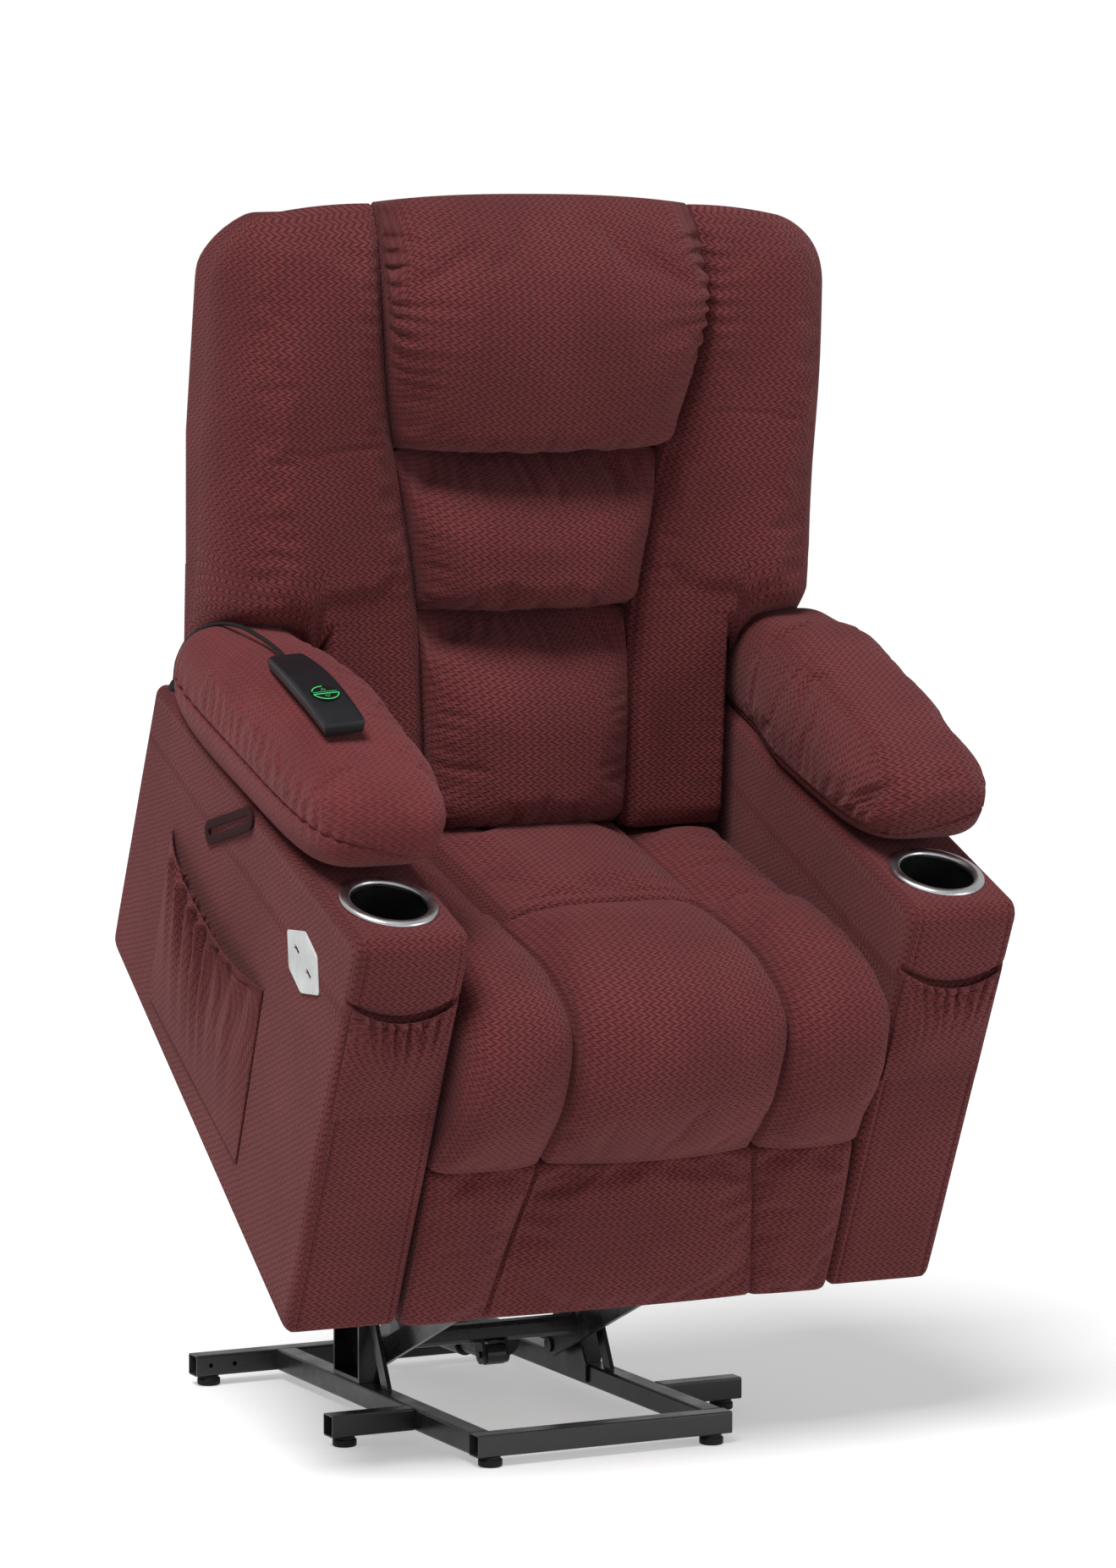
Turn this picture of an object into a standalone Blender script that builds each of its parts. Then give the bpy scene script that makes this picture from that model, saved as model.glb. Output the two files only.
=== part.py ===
"""A powered lift recliner chair, shown raised and tipped forward as it is for standing up.

Metres, +Z up, the front of the chair towards -Y, left and right as seen from the front.
The base is drawn in base coordinates: y back from its front tube, z up from the floor.
The chair is drawn in chair coordinates: y back and z up from the foot of its arm fronts.
Empties on the joint axes carry the pieces, and one of them tips the whole chair.
"""

import math

import bmesh
import bpy
import numpy as np
from mathutils import Euler, Matrix, Vector

# Fits shared by the whole chair
GAP = 0.0003
PIN_PLAY = 0.0004
SOFT_GAP = 0.0015
SIDES = {"l": -1, "r": 1}

# Base frame
BASE_FRONT_Y = -0.1835
BASE_WIDTH = 0.3126
BASE_DEPTH = 0.582
TUBE = 0.025
TUBE_WALL = 0.0015
TUBE_CORNER = 0.0025
FOOT_HEIGHT = 0.012
FOOT_RADIUS = 0.0135
FOOT_INSET = 0.020
REAR_TUBE_REACH = 0.102
OUTRIGGER_REACH = 0.100
OUTRIGGER_Y = 0.168
SCREW_HOLE_RADIUS = 0.0028
SCREW_HOLE_SPACING = 0.030
RAIL_TOP = FOOT_HEIGHT + TUBE
RAIL_INNER = BASE_WIDTH / 2 - TUBE

# Lift linkage in base coordinates, heights above the rails' top
PIN_RADIUS = 0.005
HEAD_RADIUS = 0.009
HEAD_THICKNESS = 0.0025
LOWER_PIVOT = (0.378, RAIL_TOP + 0.0139)
UPPER_PIVOT = (0.3624, RAIL_TOP + 0.1416)
UPRIGHT_WALL = 0.003
UPRIGHT_DEPTH = 0.072
UPRIGHT_FRONT = 0.325
UPRIGHT_TOP = RAIL_TOP + 0.159
BRACE_FOOT = (0.268, 0.287)
BRACE_HEAD = (RAIL_TOP + 0.078, RAIL_TOP + 0.113)
LINK_THICKNESS = 0.0055
LOWER_ARM_HALF = 0.014
UPPER_ARM_HALF = 0.013
LOWER_BAR_DISTANCE = 0.30
CROSS_BAR_RADIUS = 0.010
TORQUE_TUBE = (0.300, RAIL_TOP + 0.053)
TORQUE_RADIUS = 0.0125
TORQUE_WALL = 0.002
LUG_THICKNESS = 0.004
LUG_PIN = (0.294, RAIL_TOP + 0.027)
LUG_PIN_RADIUS = 0.004
LUG_INNER = 0.0125
LUG_RADIUS = 0.011

# Actuator, from the pin of its clevis at the rear tube
CLEVIS_PIN = (BASE_DEPTH - 0.037, RAIL_TOP + 0.025)
MOTOR_OFFSET = 0.050
MOTOR_RADIUS = 0.021
MOTOR_LENGTH = 0.105
GEARBOX_START = 0.018
GEARBOX_LENGTH = 0.052
GEARBOX_HALF = 0.0235
GEARBOX_CORNER = 0.008
REAR_EYE_RADIUS = 0.011
REAR_EYE_REACH = 0.026
OUTER_TUBE_RADIUS = 0.0140
OUTER_TUBE_END = 0.178
ROD_RADIUS = 0.0095
ROD_INSIDE = 0.128
EYE_RADIUS = 0.0121
EYE_SLACK = 0.0022

# Chair body
LIFT_TILT = math.radians(19.2)
CHAIR_FOOT = Vector((0.0, -0.0205, RAIL_TOP + 0.1318))
SEAT_WIDTH = 0.525
ARM_WIDTH = 0.1325
ARM_EDGE = 0.009
ARM_CORNER = 0.014
ARM_FRONT_TOP = (-0.042, 0.488)
ARM_REAR_TOP = (0.560, 0.523)
ARM_REAR_FOOT = (0.590, 0.190)
CARRIAGE_LOWER_PIN = (0.061, 0.0118)
CARRIAGE_UPPER_PIN = (0.0745, 0.0717)
UPPER_EYE_SLACK = 0.0036
BRACKET_THICKNESS = 0.005
CARRIAGE_RAIL = (0.197, 0.2125)
CARRIAGE_RAIL_WIDTH = 0.020
CARRIAGE_RAIL_ENDS = (0.045, 0.500)
CROSS_BAR_HEIGHT = 0.012
CROSS_BAR_DEPTH = 0.025
FRONT_CROSS_Y = 0.2875
REAR_CROSS_Y = 0.440
ARM_INNER = SEAT_WIDTH / 2
ARM_OUTER = ARM_INNER + ARM_WIDTH

# Cups, socket plate, pockets and loop
CUP_Y = 0.036
CUP_RADIUS = 0.0485
CUP_WALL = 0.0025
CUP_DEPTH = 0.078
CUP_RING_RADIUS = 0.0535
CUP_RING_HEIGHT = 0.005
CUP_FLOOR_EDGE = 0.004
CUP_FLOOR_PLAY = 0.002
PLATE_CORNERS = (
    (0.129, 0.423),
    (0.086, 0.441),
    (0.049, 0.429),
    (0.032, 0.392),
    (0.075, 0.374),
    (0.112, 0.386),
)
PLATE_THICKNESS = 0.002
PLATE_CORNER = 0.004
PORT_SIZE = (0.0130, 0.0062)
PORT_DEPTH = 0.012
PORT_SPREAD = 0.019
SIDE_POCKET = ((0.460, 0.181), (0.177, 0.119), (0.169, 0.332), (0.457, 0.390))
FRONT_POCKET_FOOT = 0.275
FRONT_POCKET_TOP = 0.413
FRONT_POCKET_SAG = 0.022
POCKET_MARGIN = 0.003
CLOTH = 0.002
SIDE_POCKET_SWELL = 0.0124
FRONT_POCKET_SWELL = 0.016
LOOP_REAR = (0.354, 0.4335)
LOOP_FRONT = (0.262, 0.4915)
LOOP_HALF = 0.0135
LOOP_STROKE = 0.0070
LOOP_THICKNESS = 0.004

# Arm pads, with the height of their crest along the arm as (y, z) points
PAD_INNER = 0.247
PAD_OUTER = 0.410
PAD_FRONT = 0.048
PAD_REAR = 0.532
PAD_FALL = 0.070
PAD_MIDDLE = 0.563
PAD_TOP_LINE = ((0.048, 0.626), (0.200, 0.637), (0.350, 0.645), (0.440, 0.630), (0.532, 0.600))
PAD_SQUARE = 4.5
PAD_CROWN = 2.8
PAD_CREASE = 0.004
PAD_TUCK = (0.30, 0.38)

# Handset and its cord
HANDSET_LENGTH = 0.164
HANDSET_WIDTH = 0.050
HANDSET_HEIGHT = 0.018
HANDSET_PLACE = (-0.3530, 0.2340, 0.6440)
HANDSET_TURN = Euler((math.radians(3.2), math.radians(-4.0), math.radians(1.0)))
BUTTON_RADIUS = 0.0155
BUTTON_SPLIT = 0.0016
BUTTON_HEIGHT = 0.003
BUTTON_TRAVEL = 0.001
BUTTON_Y = -0.026
BUTTON_RECESS = 0.004
HANDSET_BOW = 0.004
HANDSET_EDGE = 0.0022
CORD_RADIUS = 0.0024
CORD_STEP = 0.011
GLAND_PLACE = (-0.3800, 0.5405)
GLAND_RADIUS = 0.006
GLAND_HEIGHT = 0.010
GLAND_COLLAR = 0.003

# Seat, back and legrest in chair coordinates
SEAT_FRAME_HALF = ARM_INNER - 0.0125
SEAT_FRAME_ENDS = (0.030, 0.455)
SEAT_FRAME_HEIGHTS = (0.2252, 0.250)
SEAT_CUSHION_HALF = ARM_INNER - 0.007
SEAT_SEAM = 0.124
SEAT_PAD_HALF = 0.114
SEAT_PAD_FRONT = 0.167
SEAT_CROWN = 0.026
SEAT_PAD_RISE = 0.012
SEAT_EDGE = (0.022, 0.016)
BACK_HINGE = (0.470, 0.310)
BACK_NARROW_HALF = ARM_INNER - 0.017
BACK_WIDE_HALF = 0.362
BACK_WING_LOW = 0.555
BACK_WING_FRONT = 0.5345
BACK_TOP = 1.035
BACK_CORNER = 0.085
WING_NARROW_HALF = ARM_INNER - 0.0065
WING_WIDE_HALF = 0.3740
WING_CORNER = 0.118
WING_TOP = 1.066
WING_EDGE_ROUND = 0.030
LUMBAR_LOWER = (0.412, 0.632)
LUMBAR_UPPER = (0.6365, 0.8065)
HEAD_PILLOW = (0.812, 1.078)
PILLOW_CROWN = 0.048
PILLOW_TUCK = 0.022
PILLOW_GAP = 0.0006
WING_CROWN = 0.022

# Legrest linkage in chair coordinates
LEG_STUD = (0.100, 0.170)
LEG_KNEE = (0.24095, 0.1187)
LEG_CONTROL_FOOT = (0.2391, 0.1388)
BOARD_PIN = (0.045, 0.100)
BOARD_CONTROL_PIN = (0.0565, 0.1409)
CONTROL_SLACK = 0.0040
LEG_LINK_HALF = 0.010
LEG_LINK_THICKNESS = 0.005
LEG_PIN_RADIUS = 0.004
LEG_HEAD_RADIUS = 0.0078
LEG_HEAD_THICKNESS = 0.002
BOARD_FACES = (0.0185, 0.0305)
BOARD_HEIGHTS = (0.006, 0.190)
LEGREST_TOP = 0.196
LEGREST_FOOT = 0.001
LEGREST_SEAMS = (0.166, 0.130)
LEGREST_CROWN = 0.010
BOARD_CORNER = 0.012

STEEL = ((0.012, 0.012, 0.013), 0.38, 0.6)
FABRIC = ((0.160, 0.034, 0.040), 0.92, 0.0)
RUBBER = ((0.010, 0.010, 0.010), 0.75, 0.0)
PLASTIC = ((0.015, 0.015, 0.017), 0.42, 0.0)
CHROME = ((0.62, 0.63, 0.65), 0.16, 1.0)
WHITE = ((0.72, 0.74, 0.73), 0.35, 0.0)
ZINC = ((0.30, 0.30, 0.31), 0.35, 0.9)
STRAP = ((0.020, 0.013, 0.014), 0.85, 0.0)
BOARD = ((0.26, 0.17, 0.10), 0.70, 0.0)


# ---------------------------------------------------------------- scene and frames


def clear_scene():
    for thing in list(bpy.data.objects):
        bpy.data.objects.remove(thing)


def collection(name, hidden=False):
    made = bpy.data.collections.new(name)
    made.hide_render = hidden
    bpy.context.scene.collection.children.link(made)
    return made


class Frame:
    """An empty on a joint's axis, and where that axis lies in its pieces' own drawing."""

    def __init__(self, name, parent, at, centre=None, turn=(0.0, 0.0, 0.0)):
        self.empty = bpy.data.objects.new(name, None)
        self.empty.empty_display_size = 0.03
        self.centre = Vector(at if centre is None else centre)
        self.empty.location = Vector(at)
        self.empty.rotation_euler = turn
        if parent:
            self.empty.parent = parent.empty
            self.empty.location = Vector(at) - parent.centre
        PARTS.objects.link(self.empty)

    def hold(self, piece, finish):
        """Hangs a piece on the empty and gives it its own material."""
        colour, roughness, metallic = finish
        piece.parent = self.empty
        piece.location = -self.centre
        paint = bpy.data.materials.new(piece.name + "_finish")
        paint.use_nodes = True
        shader = paint.node_tree.nodes["Principled BSDF"]
        shader.inputs["Base Color"].default_value = (*colour, 1.0)
        shader.inputs["Roughness"].default_value = roughness
        shader.inputs["Metallic"].default_value = metallic
        piece.data.materials.append(paint)
        return piece


# ---------------------------------------------------------------- outlines


def arc(centre, radius, start, end, steps):
    return [
        (centre[0] + radius * math.cos(angle), centre[1] + radius * math.sin(angle))
        for angle in np.linspace(start, end, steps + 1)
    ]


def circle(centre, radius, steps=12):
    return arc(centre, radius, 0.0, math.tau * (1 - 1 / steps), steps - 1)


def heading(start, end):
    return math.atan2(end[1] - start[1], end[0] - start[0])


def rounded(corners, radius, steps=3):
    """A closed outline whose corners are turned by arcs."""
    outline = []
    for index, corner in enumerate(corners):
        point = Vector(corner)
        before = (Vector(corners[index - 1]) - point).normalized()
        after = (Vector(corners[(index + 1) % len(corners)]) - point).normalized()
        half = before.angle(after) / 2
        centre = point + (before + after).normalized() * radius / math.sin(half)
        touch = point + before * radius / math.tan(half) - centre
        leave = point + after * radius / math.tan(half) - centre
        start = math.atan2(touch.y, touch.x)
        turn = math.remainder(math.atan2(leave.y, leave.x) - start, math.tau)
        outline += arc(centre, radius, start, start + turn, steps)
    return outline


def around(centres, radius, steps=4):
    """The outline of a band pulled round equal circles, named anticlockwise."""
    outline = []
    for index, centre in enumerate(centres):
        start = heading(centres[index - 1], centre) - math.pi / 2
        onward = heading(centre, centres[(index + 1) % len(centres)]) - math.pi / 2
        outline += arc(centre, radius, start, start + (onward - start) % math.tau, steps)
    return outline


def bent_strap(start, bend, end, half, steps=5):
    """The outline of a strap that turns left at its bend, with round ends."""
    first = heading(start, bend)
    second = heading(bend, end)
    normals = [Vector((-math.sin(angle), math.cos(angle))) for angle in (first, second)]
    mitre = Vector(bend) + (normals[0] + normals[1]) * half / (1 + normals[0].dot(normals[1]))
    quarter = math.pi / 2
    turn = math.remainder(second - first, math.tau)
    outline = arc(start, half, first + quarter, first + 3 * quarter, steps)
    outline += arc(bend, half, first - quarter, first - quarter + turn, steps)
    outline += arc(end, half, second - quarter, second + quarter, steps)
    return outline + [tuple(mitre)]


def box_outline(low, high):
    return [(low[0], low[1]), (high[0], low[1]), (high[0], high[1]), (low[0], high[1])]


# ---------------------------------------------------------------- solids

# Where a flat outline's own X, Y and thickness go
ACROSS_X = Matrix(((0, 0, 1), (1, 0, 0), (0, 1, 0))).to_4x4()
ACROSS_Y = Matrix(((1, 0, 0), (0, 0, -1), (0, 1, 0))).to_4x4()
ACROSS_Z = Matrix.Identity(4)


def new_piece(name, mesh):
    piece = bpy.data.objects.new(name, mesh)
    PARTS.objects.link(piece)
    return piece


def tidy_mesh(mesh, matrix=Matrix.Identity(4)):
    """Welds a converted mesh, turns its faces outward, moves it and shades it round."""
    work = bmesh.new()
    work.from_mesh(mesh)
    bmesh.ops.remove_doubles(work, verts=work.verts, dist=1e-6)
    bmesh.ops.recalc_face_normals(work, faces=work.faces)
    if work.calc_volume(signed=True) < 0:
        bmesh.ops.reverse_faces(work, faces=work.faces)
    bmesh.ops.transform(work, matrix=matrix, verts=work.verts)
    work.to_mesh(mesh)
    work.free()
    mesh.shade_smooth()
    mesh.set_sharp_from_angle(angle=math.radians(38))


def flat_solid(name, loops, low, high, facing=ACROSS_X):
    """A flat outline, with holes if more loops follow the first, from low to high."""
    curve = bpy.data.curves.new(name, "CURVE")
    curve.dimensions = "2D"
    curve.fill_mode = "BOTH"
    curve.extrude = (high - low) / 2
    for loop in loops:
        spline = curve.splines.new("POLY")
        spline.points.add(len(loop) - 1)
        for point, (a, b) in zip(spline.points, loop):
            point.co = (a, b, 0.0, 1.0)
        spline.use_cyclic_u = True
    flat = bpy.data.objects.new(name, curve)
    mesh = bpy.data.meshes.new_from_object(flat)
    bpy.data.objects.remove(flat)
    middle = (low + high) / 2
    if facing is ACROSS_Y:
        middle = -middle
    tidy_mesh(mesh, facing @ Matrix.Translation((0.0, 0.0, middle)))
    return new_piece(name, mesh)


def sided(name, loops, side, inner, outer):
    """A plate across X between two distances from the middle, on one side of the chair."""
    low, high = sorted((side * inner, side * outer))
    return flat_solid(name, loops, low, high)


def plate_pair(name, loops, inner, outer):
    """The same plate on both sides."""
    return [sided(f"{name}_{tag}", loops, side, inner, outer) for tag, side in SIDES.items()]


def cylinder(name, start, end, radius, segments=16):
    middle = (Vector(start) + Vector(end)) / 2
    along = Vector(end) - Vector(start)
    aim = along.to_track_quat("Z", "Y").to_matrix().to_4x4()
    work = bmesh.new()
    bmesh.ops.create_cone(
        work,
        cap_ends=True,
        segments=segments,
        radius1=radius,
        radius2=radius,
        depth=along.length,
        matrix=Matrix.Translation(middle) @ aim,
    )
    mesh = bpy.data.meshes.new(name)
    work.to_mesh(mesh)
    work.free()
    tidy_mesh(mesh)
    return new_piece(name, mesh)


def turned(name, profile, place, direction, segments=24):
    """A profile of (radius, height) pairs turned round a line through `place`."""
    mesh = bpy.data.meshes.new(name)
    edges = [(i, i + 1) for i in range(len(profile) - 1)]
    mesh.from_pydata([(r, 0.0, h) for r, h in profile], edges, [])
    lathe = new_piece(name, mesh)
    screw = lathe.modifiers.new("turn", "SCREW")
    screw.steps = segments
    screw.render_steps = segments
    screw.use_merge_vertices = True
    screw.merge_threshold = 0.0001
    graph = bpy.context.evaluated_depsgraph_get()
    round_mesh = bpy.data.meshes.new_from_object(lathe.evaluated_get(graph))
    bpy.data.objects.remove(lathe)
    aim = Vector(direction).to_track_quat("Z", "Y").to_matrix().to_4x4()
    tidy_mesh(round_mesh, Matrix.Translation(place) @ aim)
    return new_piece(name, round_mesh)


def lattice(name, stations, place):
    """A block cut by planes at the stations of each axis, whose points `place` then moves."""
    work = bmesh.new()
    bmesh.ops.create_cube(work, size=1.0)
    for axis, cuts in enumerate(stations):
        for vertex in work.verts:
            vertex.co[axis] = cuts[0] + (vertex.co[axis] + 0.5) * (cuts[-1] - cuts[0])
    for axis, cuts in enumerate(stations):
        normal = Vector(np.eye(3)[axis])
        for cut in cuts[1:-1]:
            whole = work.verts[:] + work.edges[:] + work.faces[:]
            at = normal * cut
            bmesh.ops.bisect_plane(work, geom=whole, dist=1e-7, plane_co=at, plane_no=normal)
    for vertex in work.verts:
        vertex.co = place(*vertex.co)
    mesh = bpy.data.meshes.new(name)
    work.to_mesh(mesh)
    work.free()
    tidy_mesh(mesh)
    mesh.set_sharp_from_angle(angle=math.radians(80))
    return new_piece(name, mesh)


def combine(target, tools, operation):
    """Adds an exact Boolean for each tool, which goes to the hidden collection."""
    for tool in tools:
        PARTS.objects.unlink(tool)
        TOOLS.objects.link(tool)
        tool.parent = target
        tool.display_type = "WIRE"
        tool.hide_render = True
        change = target.modifiers.new(tool.name, "BOOLEAN")
        change.operation = operation
        change.solver = "EXACT"
        change.object = tool
    return target


def union(target, *tools):
    return combine(target, tools, "UNION")


def cut(target, *tools):
    return combine(target, tools, "DIFFERENCE")


def round_edges(piece, width, segments=2):
    bevel = piece.modifiers.new("edges", "BEVEL")
    bevel.width = width
    bevel.segments = segments
    bevel.limit_method = "ANGLE"
    bevel.angle_limit = math.radians(45)
    return piece


def link_faces(root, link, head=HEAD_THICKNESS):
    """The planes of a stud that starts at `root` and holds a link (its outer and inner faces)."""
    return root, link[0] + GAP, link[1] - GAP, link[1] - GAP - head


def stud(name, side, centre, faces, radius, collar, head):
    """A stepped pin across X: a collar, the pin through a link, and a riveted head.

    `faces` are its four distances from the middle of the chair, the root first.
    """
    root, shoulder, link, end = (abs(face - faces[0]) for face in faces)
    profile = [(0.0, root), (collar, root), (collar, shoulder), (radius, shoulder)]
    profile += [(radius, link), (head, link), (head, end), (0.0, end)]
    toward = side * math.copysign(1.0, faces[-1] - faces[0])
    return turned(name, profile, (side * faces[0], *centre), (toward, 0.0, 0.0), 12)


def hollow_box(low, high):
    """The outer and inner outlines of a thin-walled box."""
    inside = [v + TUBE_WALL for v in low], [v - TUBE_WALL for v in high]
    return [box_outline(low, high), box_outline(*inside)]


def square_tube(name, along, start, end, low):
    """A hollow square tube along X or Y; `low` is its lower corner across."""
    corner = (low[0] + TUBE, low[1] + TUBE)
    outer, inner = hollow_box(low, corner)
    return flat_solid(name, [rounded(outer, TUBE_CORNER, 2), inner], start, end, along)


# ---------------------------------------------------------------- planes of the linkages

UPRIGHT_OUTER = RAIL_INNER - GAP
UPRIGHT_INNER = UPRIGHT_OUTER - UPRIGHT_WALL
BRACKET_OUTER = UPRIGHT_INNER - 0.0015
BRACKET_INNER = BRACKET_OUTER - BRACKET_THICKNESS
CARRIAGE_RAIL_OUTER = BRACKET_OUTER + 0.0035
CARRIAGE_RAIL_INNER = CARRIAGE_RAIL_OUTER - CARRIAGE_RAIL_WIDTH


def link_layer(outer, thickness):
    """The outer and inner faces of a link, as distances from the middle of the chair."""
    return outer, outer - thickness


LOWER_ARM = link_layer(BRACKET_INNER - 0.003, LINK_THICKNESS)
UPPER_ARM = link_layer(LOWER_ARM[1] - 0.0075, LINK_THICKNESS)

HANGER = link_layer(SEAT_FRAME_HALF - 0.0055, 0.004)
REAR_LINK = link_layer(HANGER[1] - 0.0055, LEG_LINK_THICKNESS)
FRONT_LINK = link_layer(REAR_LINK[1] - 0.0035, LEG_LINK_THICKNESS)
CONTROL_LINK = link_layer(FRONT_LINK[1] - 0.0033, LEG_LINK_THICKNESS)
ROOT_ON_REAR_LINK = REAR_LINK[1] + 0.001


def chair_to_base(point):
    """A (y, z) of the chair's drawing in base coordinates, with the chair raised."""
    y, z = point
    return (
        CHAIR_FOOT.y + y * math.cos(LIFT_TILT) - z * math.sin(LIFT_TILT),
        CHAIR_FOOT.z + y * math.sin(LIFT_TILT) + z * math.cos(LIFT_TILT),
    )


LOWER_ARM_END = chair_to_base(CARRIAGE_LOWER_PIN)
UPPER_ARM_END = chair_to_base(CARRIAGE_UPPER_PIN)


# ---------------------------------------------------------------- base


def build_base(base):
    half = BASE_WIDTH / 2
    front = square_tube("base_front_tube", ACROSS_X, -half, half, (0.0, FOOT_HEIGHT))
    base.hold(front, STEEL)
    rear_y = BASE_DEPTH - TUBE
    for tag, side in SIDES.items():
        low_x = min(side * half, side * RAIL_INNER)
        corner = (low_x, FOOT_HEIGHT)
        rail = square_tube(f"base_rail_{tag}", ACROSS_Y, TUBE + GAP, rear_y - GAP, corner)
        base.hold(rail, STEEL)
        ends = sorted((side * (half + GAP), side * (half + OUTRIGGER_REACH)))
        corner = (OUTRIGGER_Y, FOOT_HEIGHT)
        base.hold(square_tube(f"base_outrigger_{tag}", ACROSS_X, *ends, corner), STEEL)
        build_upright(base, tag, side)
    build_rear_tube(base, rear_y)
    build_feet(base, rear_y)


def clevis(name, outline, place):
    """Two lugs and the pin through them."""
    lugs = plate_pair(f"{name}_lug", [outline], LUG_INNER, LUG_INNER + LUG_THICKNESS)
    reach = LUG_INNER + LUG_THICKNESS + HEAD_THICKNESS
    return *lugs, cylinder(f"{name}_pin", (-reach, *place), (reach, *place), LUG_PIN_RADIUS)


def build_rear_tube(base, rear_y):
    reach = BASE_WIDTH / 2 + REAR_TUBE_REACH
    rear = square_tube("base_rear_tube", ACROSS_X, -reach, reach, (rear_y, FOOT_HEIGHT))
    foot = RAIL_TOP - TUBE_WALL / 2
    lug = rounded(
        [
            (rear_y + 0.002, foot),
            (BASE_DEPTH - 0.002, foot),
            (BASE_DEPTH - 0.006, foot + 0.010),
            (CLEVIS_PIN[0] + 0.011, CLEVIS_PIN[1] + 0.011),
            (CLEVIS_PIN[0] - 0.011, CLEVIS_PIN[1] + 0.011),
            (CLEVIS_PIN[0] - 0.011, CLEVIS_PIN[1] - 0.011),
        ],
        0.0018,
    )
    union(rear, *clevis("clevis", lug, CLEVIS_PIN))
    for index in range(2):
        hole_x = -reach + SCREW_HOLE_SPACING * (index + 0.6)
        middle_z = FOOT_HEIGHT + TUBE / 2
        hole = cylinder(
            f"screw_hole_{index}",
            (hole_x, rear_y - TUBE_WALL, middle_z),
            (hole_x, rear_y + 2 * TUBE_WALL, middle_z),
            SCREW_HOLE_RADIUS,
            10,
        )
        cut(rear, hole)
    base.hold(rear, STEEL)


def build_feet(base, rear_y):
    half = BASE_WIDTH / 2
    spots = {
        "front": (half - FOOT_INSET, TUBE / 2),
        "outrigger": (half + OUTRIGGER_REACH - FOOT_INSET, OUTRIGGER_Y + TUBE / 2),
        "rear": (half + REAR_TUBE_REACH - FOOT_INSET, rear_y + TUBE / 2),
    }
    top = FOOT_HEIGHT - GAP
    profile = [(0.0, 0.0), (FOOT_RADIUS - 0.0015, 0.0), (FOOT_RADIUS, 0.0015)]
    profile += [(FOOT_RADIUS, top - 0.004), (FOOT_RADIUS - 0.002, top), (0.0, top)]
    for place, (x, y) in spots.items():
        for tag, side in SIDES.items():
            at = (side * x, y, 0.0)
            base.hold(turned(f"foot_{place}_{tag}", profile, at, (0.0, 0.0, 1.0), 12), RUBBER)


def build_upright(base, tag, side):
    """The folded steel post inside a rail, its two pivot studs and its leaning brace."""
    rear = UPRIGHT_FRONT + UPRIGHT_DEPTH
    web = rounded(
        [
            (UPRIGHT_FRONT - 0.012, FOOT_HEIGHT + 0.003),
            (rear + 0.024, FOOT_HEIGHT + 0.003),
            (rear + 0.024, RAIL_TOP + 0.012),
            (rear, RAIL_TOP + 0.050),
            (rear, UPRIGHT_TOP),
            (UPRIGHT_FRONT + 0.015, UPRIGHT_TOP),
            (UPRIGHT_FRONT, UPRIGHT_TOP - 0.030),
            (UPRIGHT_FRONT, RAIL_TOP + 0.020),
            (UPRIGHT_FRONT - 0.012, RAIL_TOP),
        ],
        0.004,
        2,
    )
    post = sided(f"upright_{tag}", [web], side, UPRIGHT_INNER, UPRIGHT_OUTER)
    flange_foot = RAIL_TOP + GAP
    root = UPRIGHT_INNER + 0.001
    outer = BASE_WIDTH / 2 - 0.002
    folds = {
        "flange_front": ((UPRIGHT_FRONT, flange_foot), (UPRIGHT_FRONT + UPRIGHT_WALL, UPRIGHT_TOP - 0.032)),
        "flange_rear": ((rear - UPRIGHT_WALL, flange_foot), (rear, UPRIGHT_TOP - 0.006)),
        "foot_plate": ((UPRIGHT_FRONT, flange_foot), (rear, flange_foot + UPRIGHT_WALL * 1.6)),
    }
    pieces = [
        sided(f"{place}_{tag}", [box_outline(*corners)], side, root, outer)
        for place, corners in folds.items()
    ]
    brace = rounded(
        [
            (BRACE_FOOT[0], flange_foot),
            (BRACE_FOOT[1], flange_foot),
            (UPRIGHT_FRONT + UPRIGHT_WALL / 2, BRACE_HEAD[0]),
            (UPRIGHT_FRONT + UPRIGHT_WALL / 2, BRACE_HEAD[1]),
        ],
        0.001,
    )
    pieces.append(sided(f"brace_{tag}", [brace], side, RAIL_INNER + 0.007, RAIL_INNER + 0.012))
    for name, centre, link in (("lower", LOWER_PIVOT, LOWER_ARM), ("upper", UPPER_PIVOT, UPPER_ARM)):
        radii = (PIN_RADIUS, HEAD_RADIUS, HEAD_RADIUS)
        pieces.append(stud(f"{name}_stud_{tag}", side, centre, link_faces(root, link), *radii))
    base.hold(union(post, *pieces), STEEL)


# ---------------------------------------------------------------- lift arms and actuator


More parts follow.
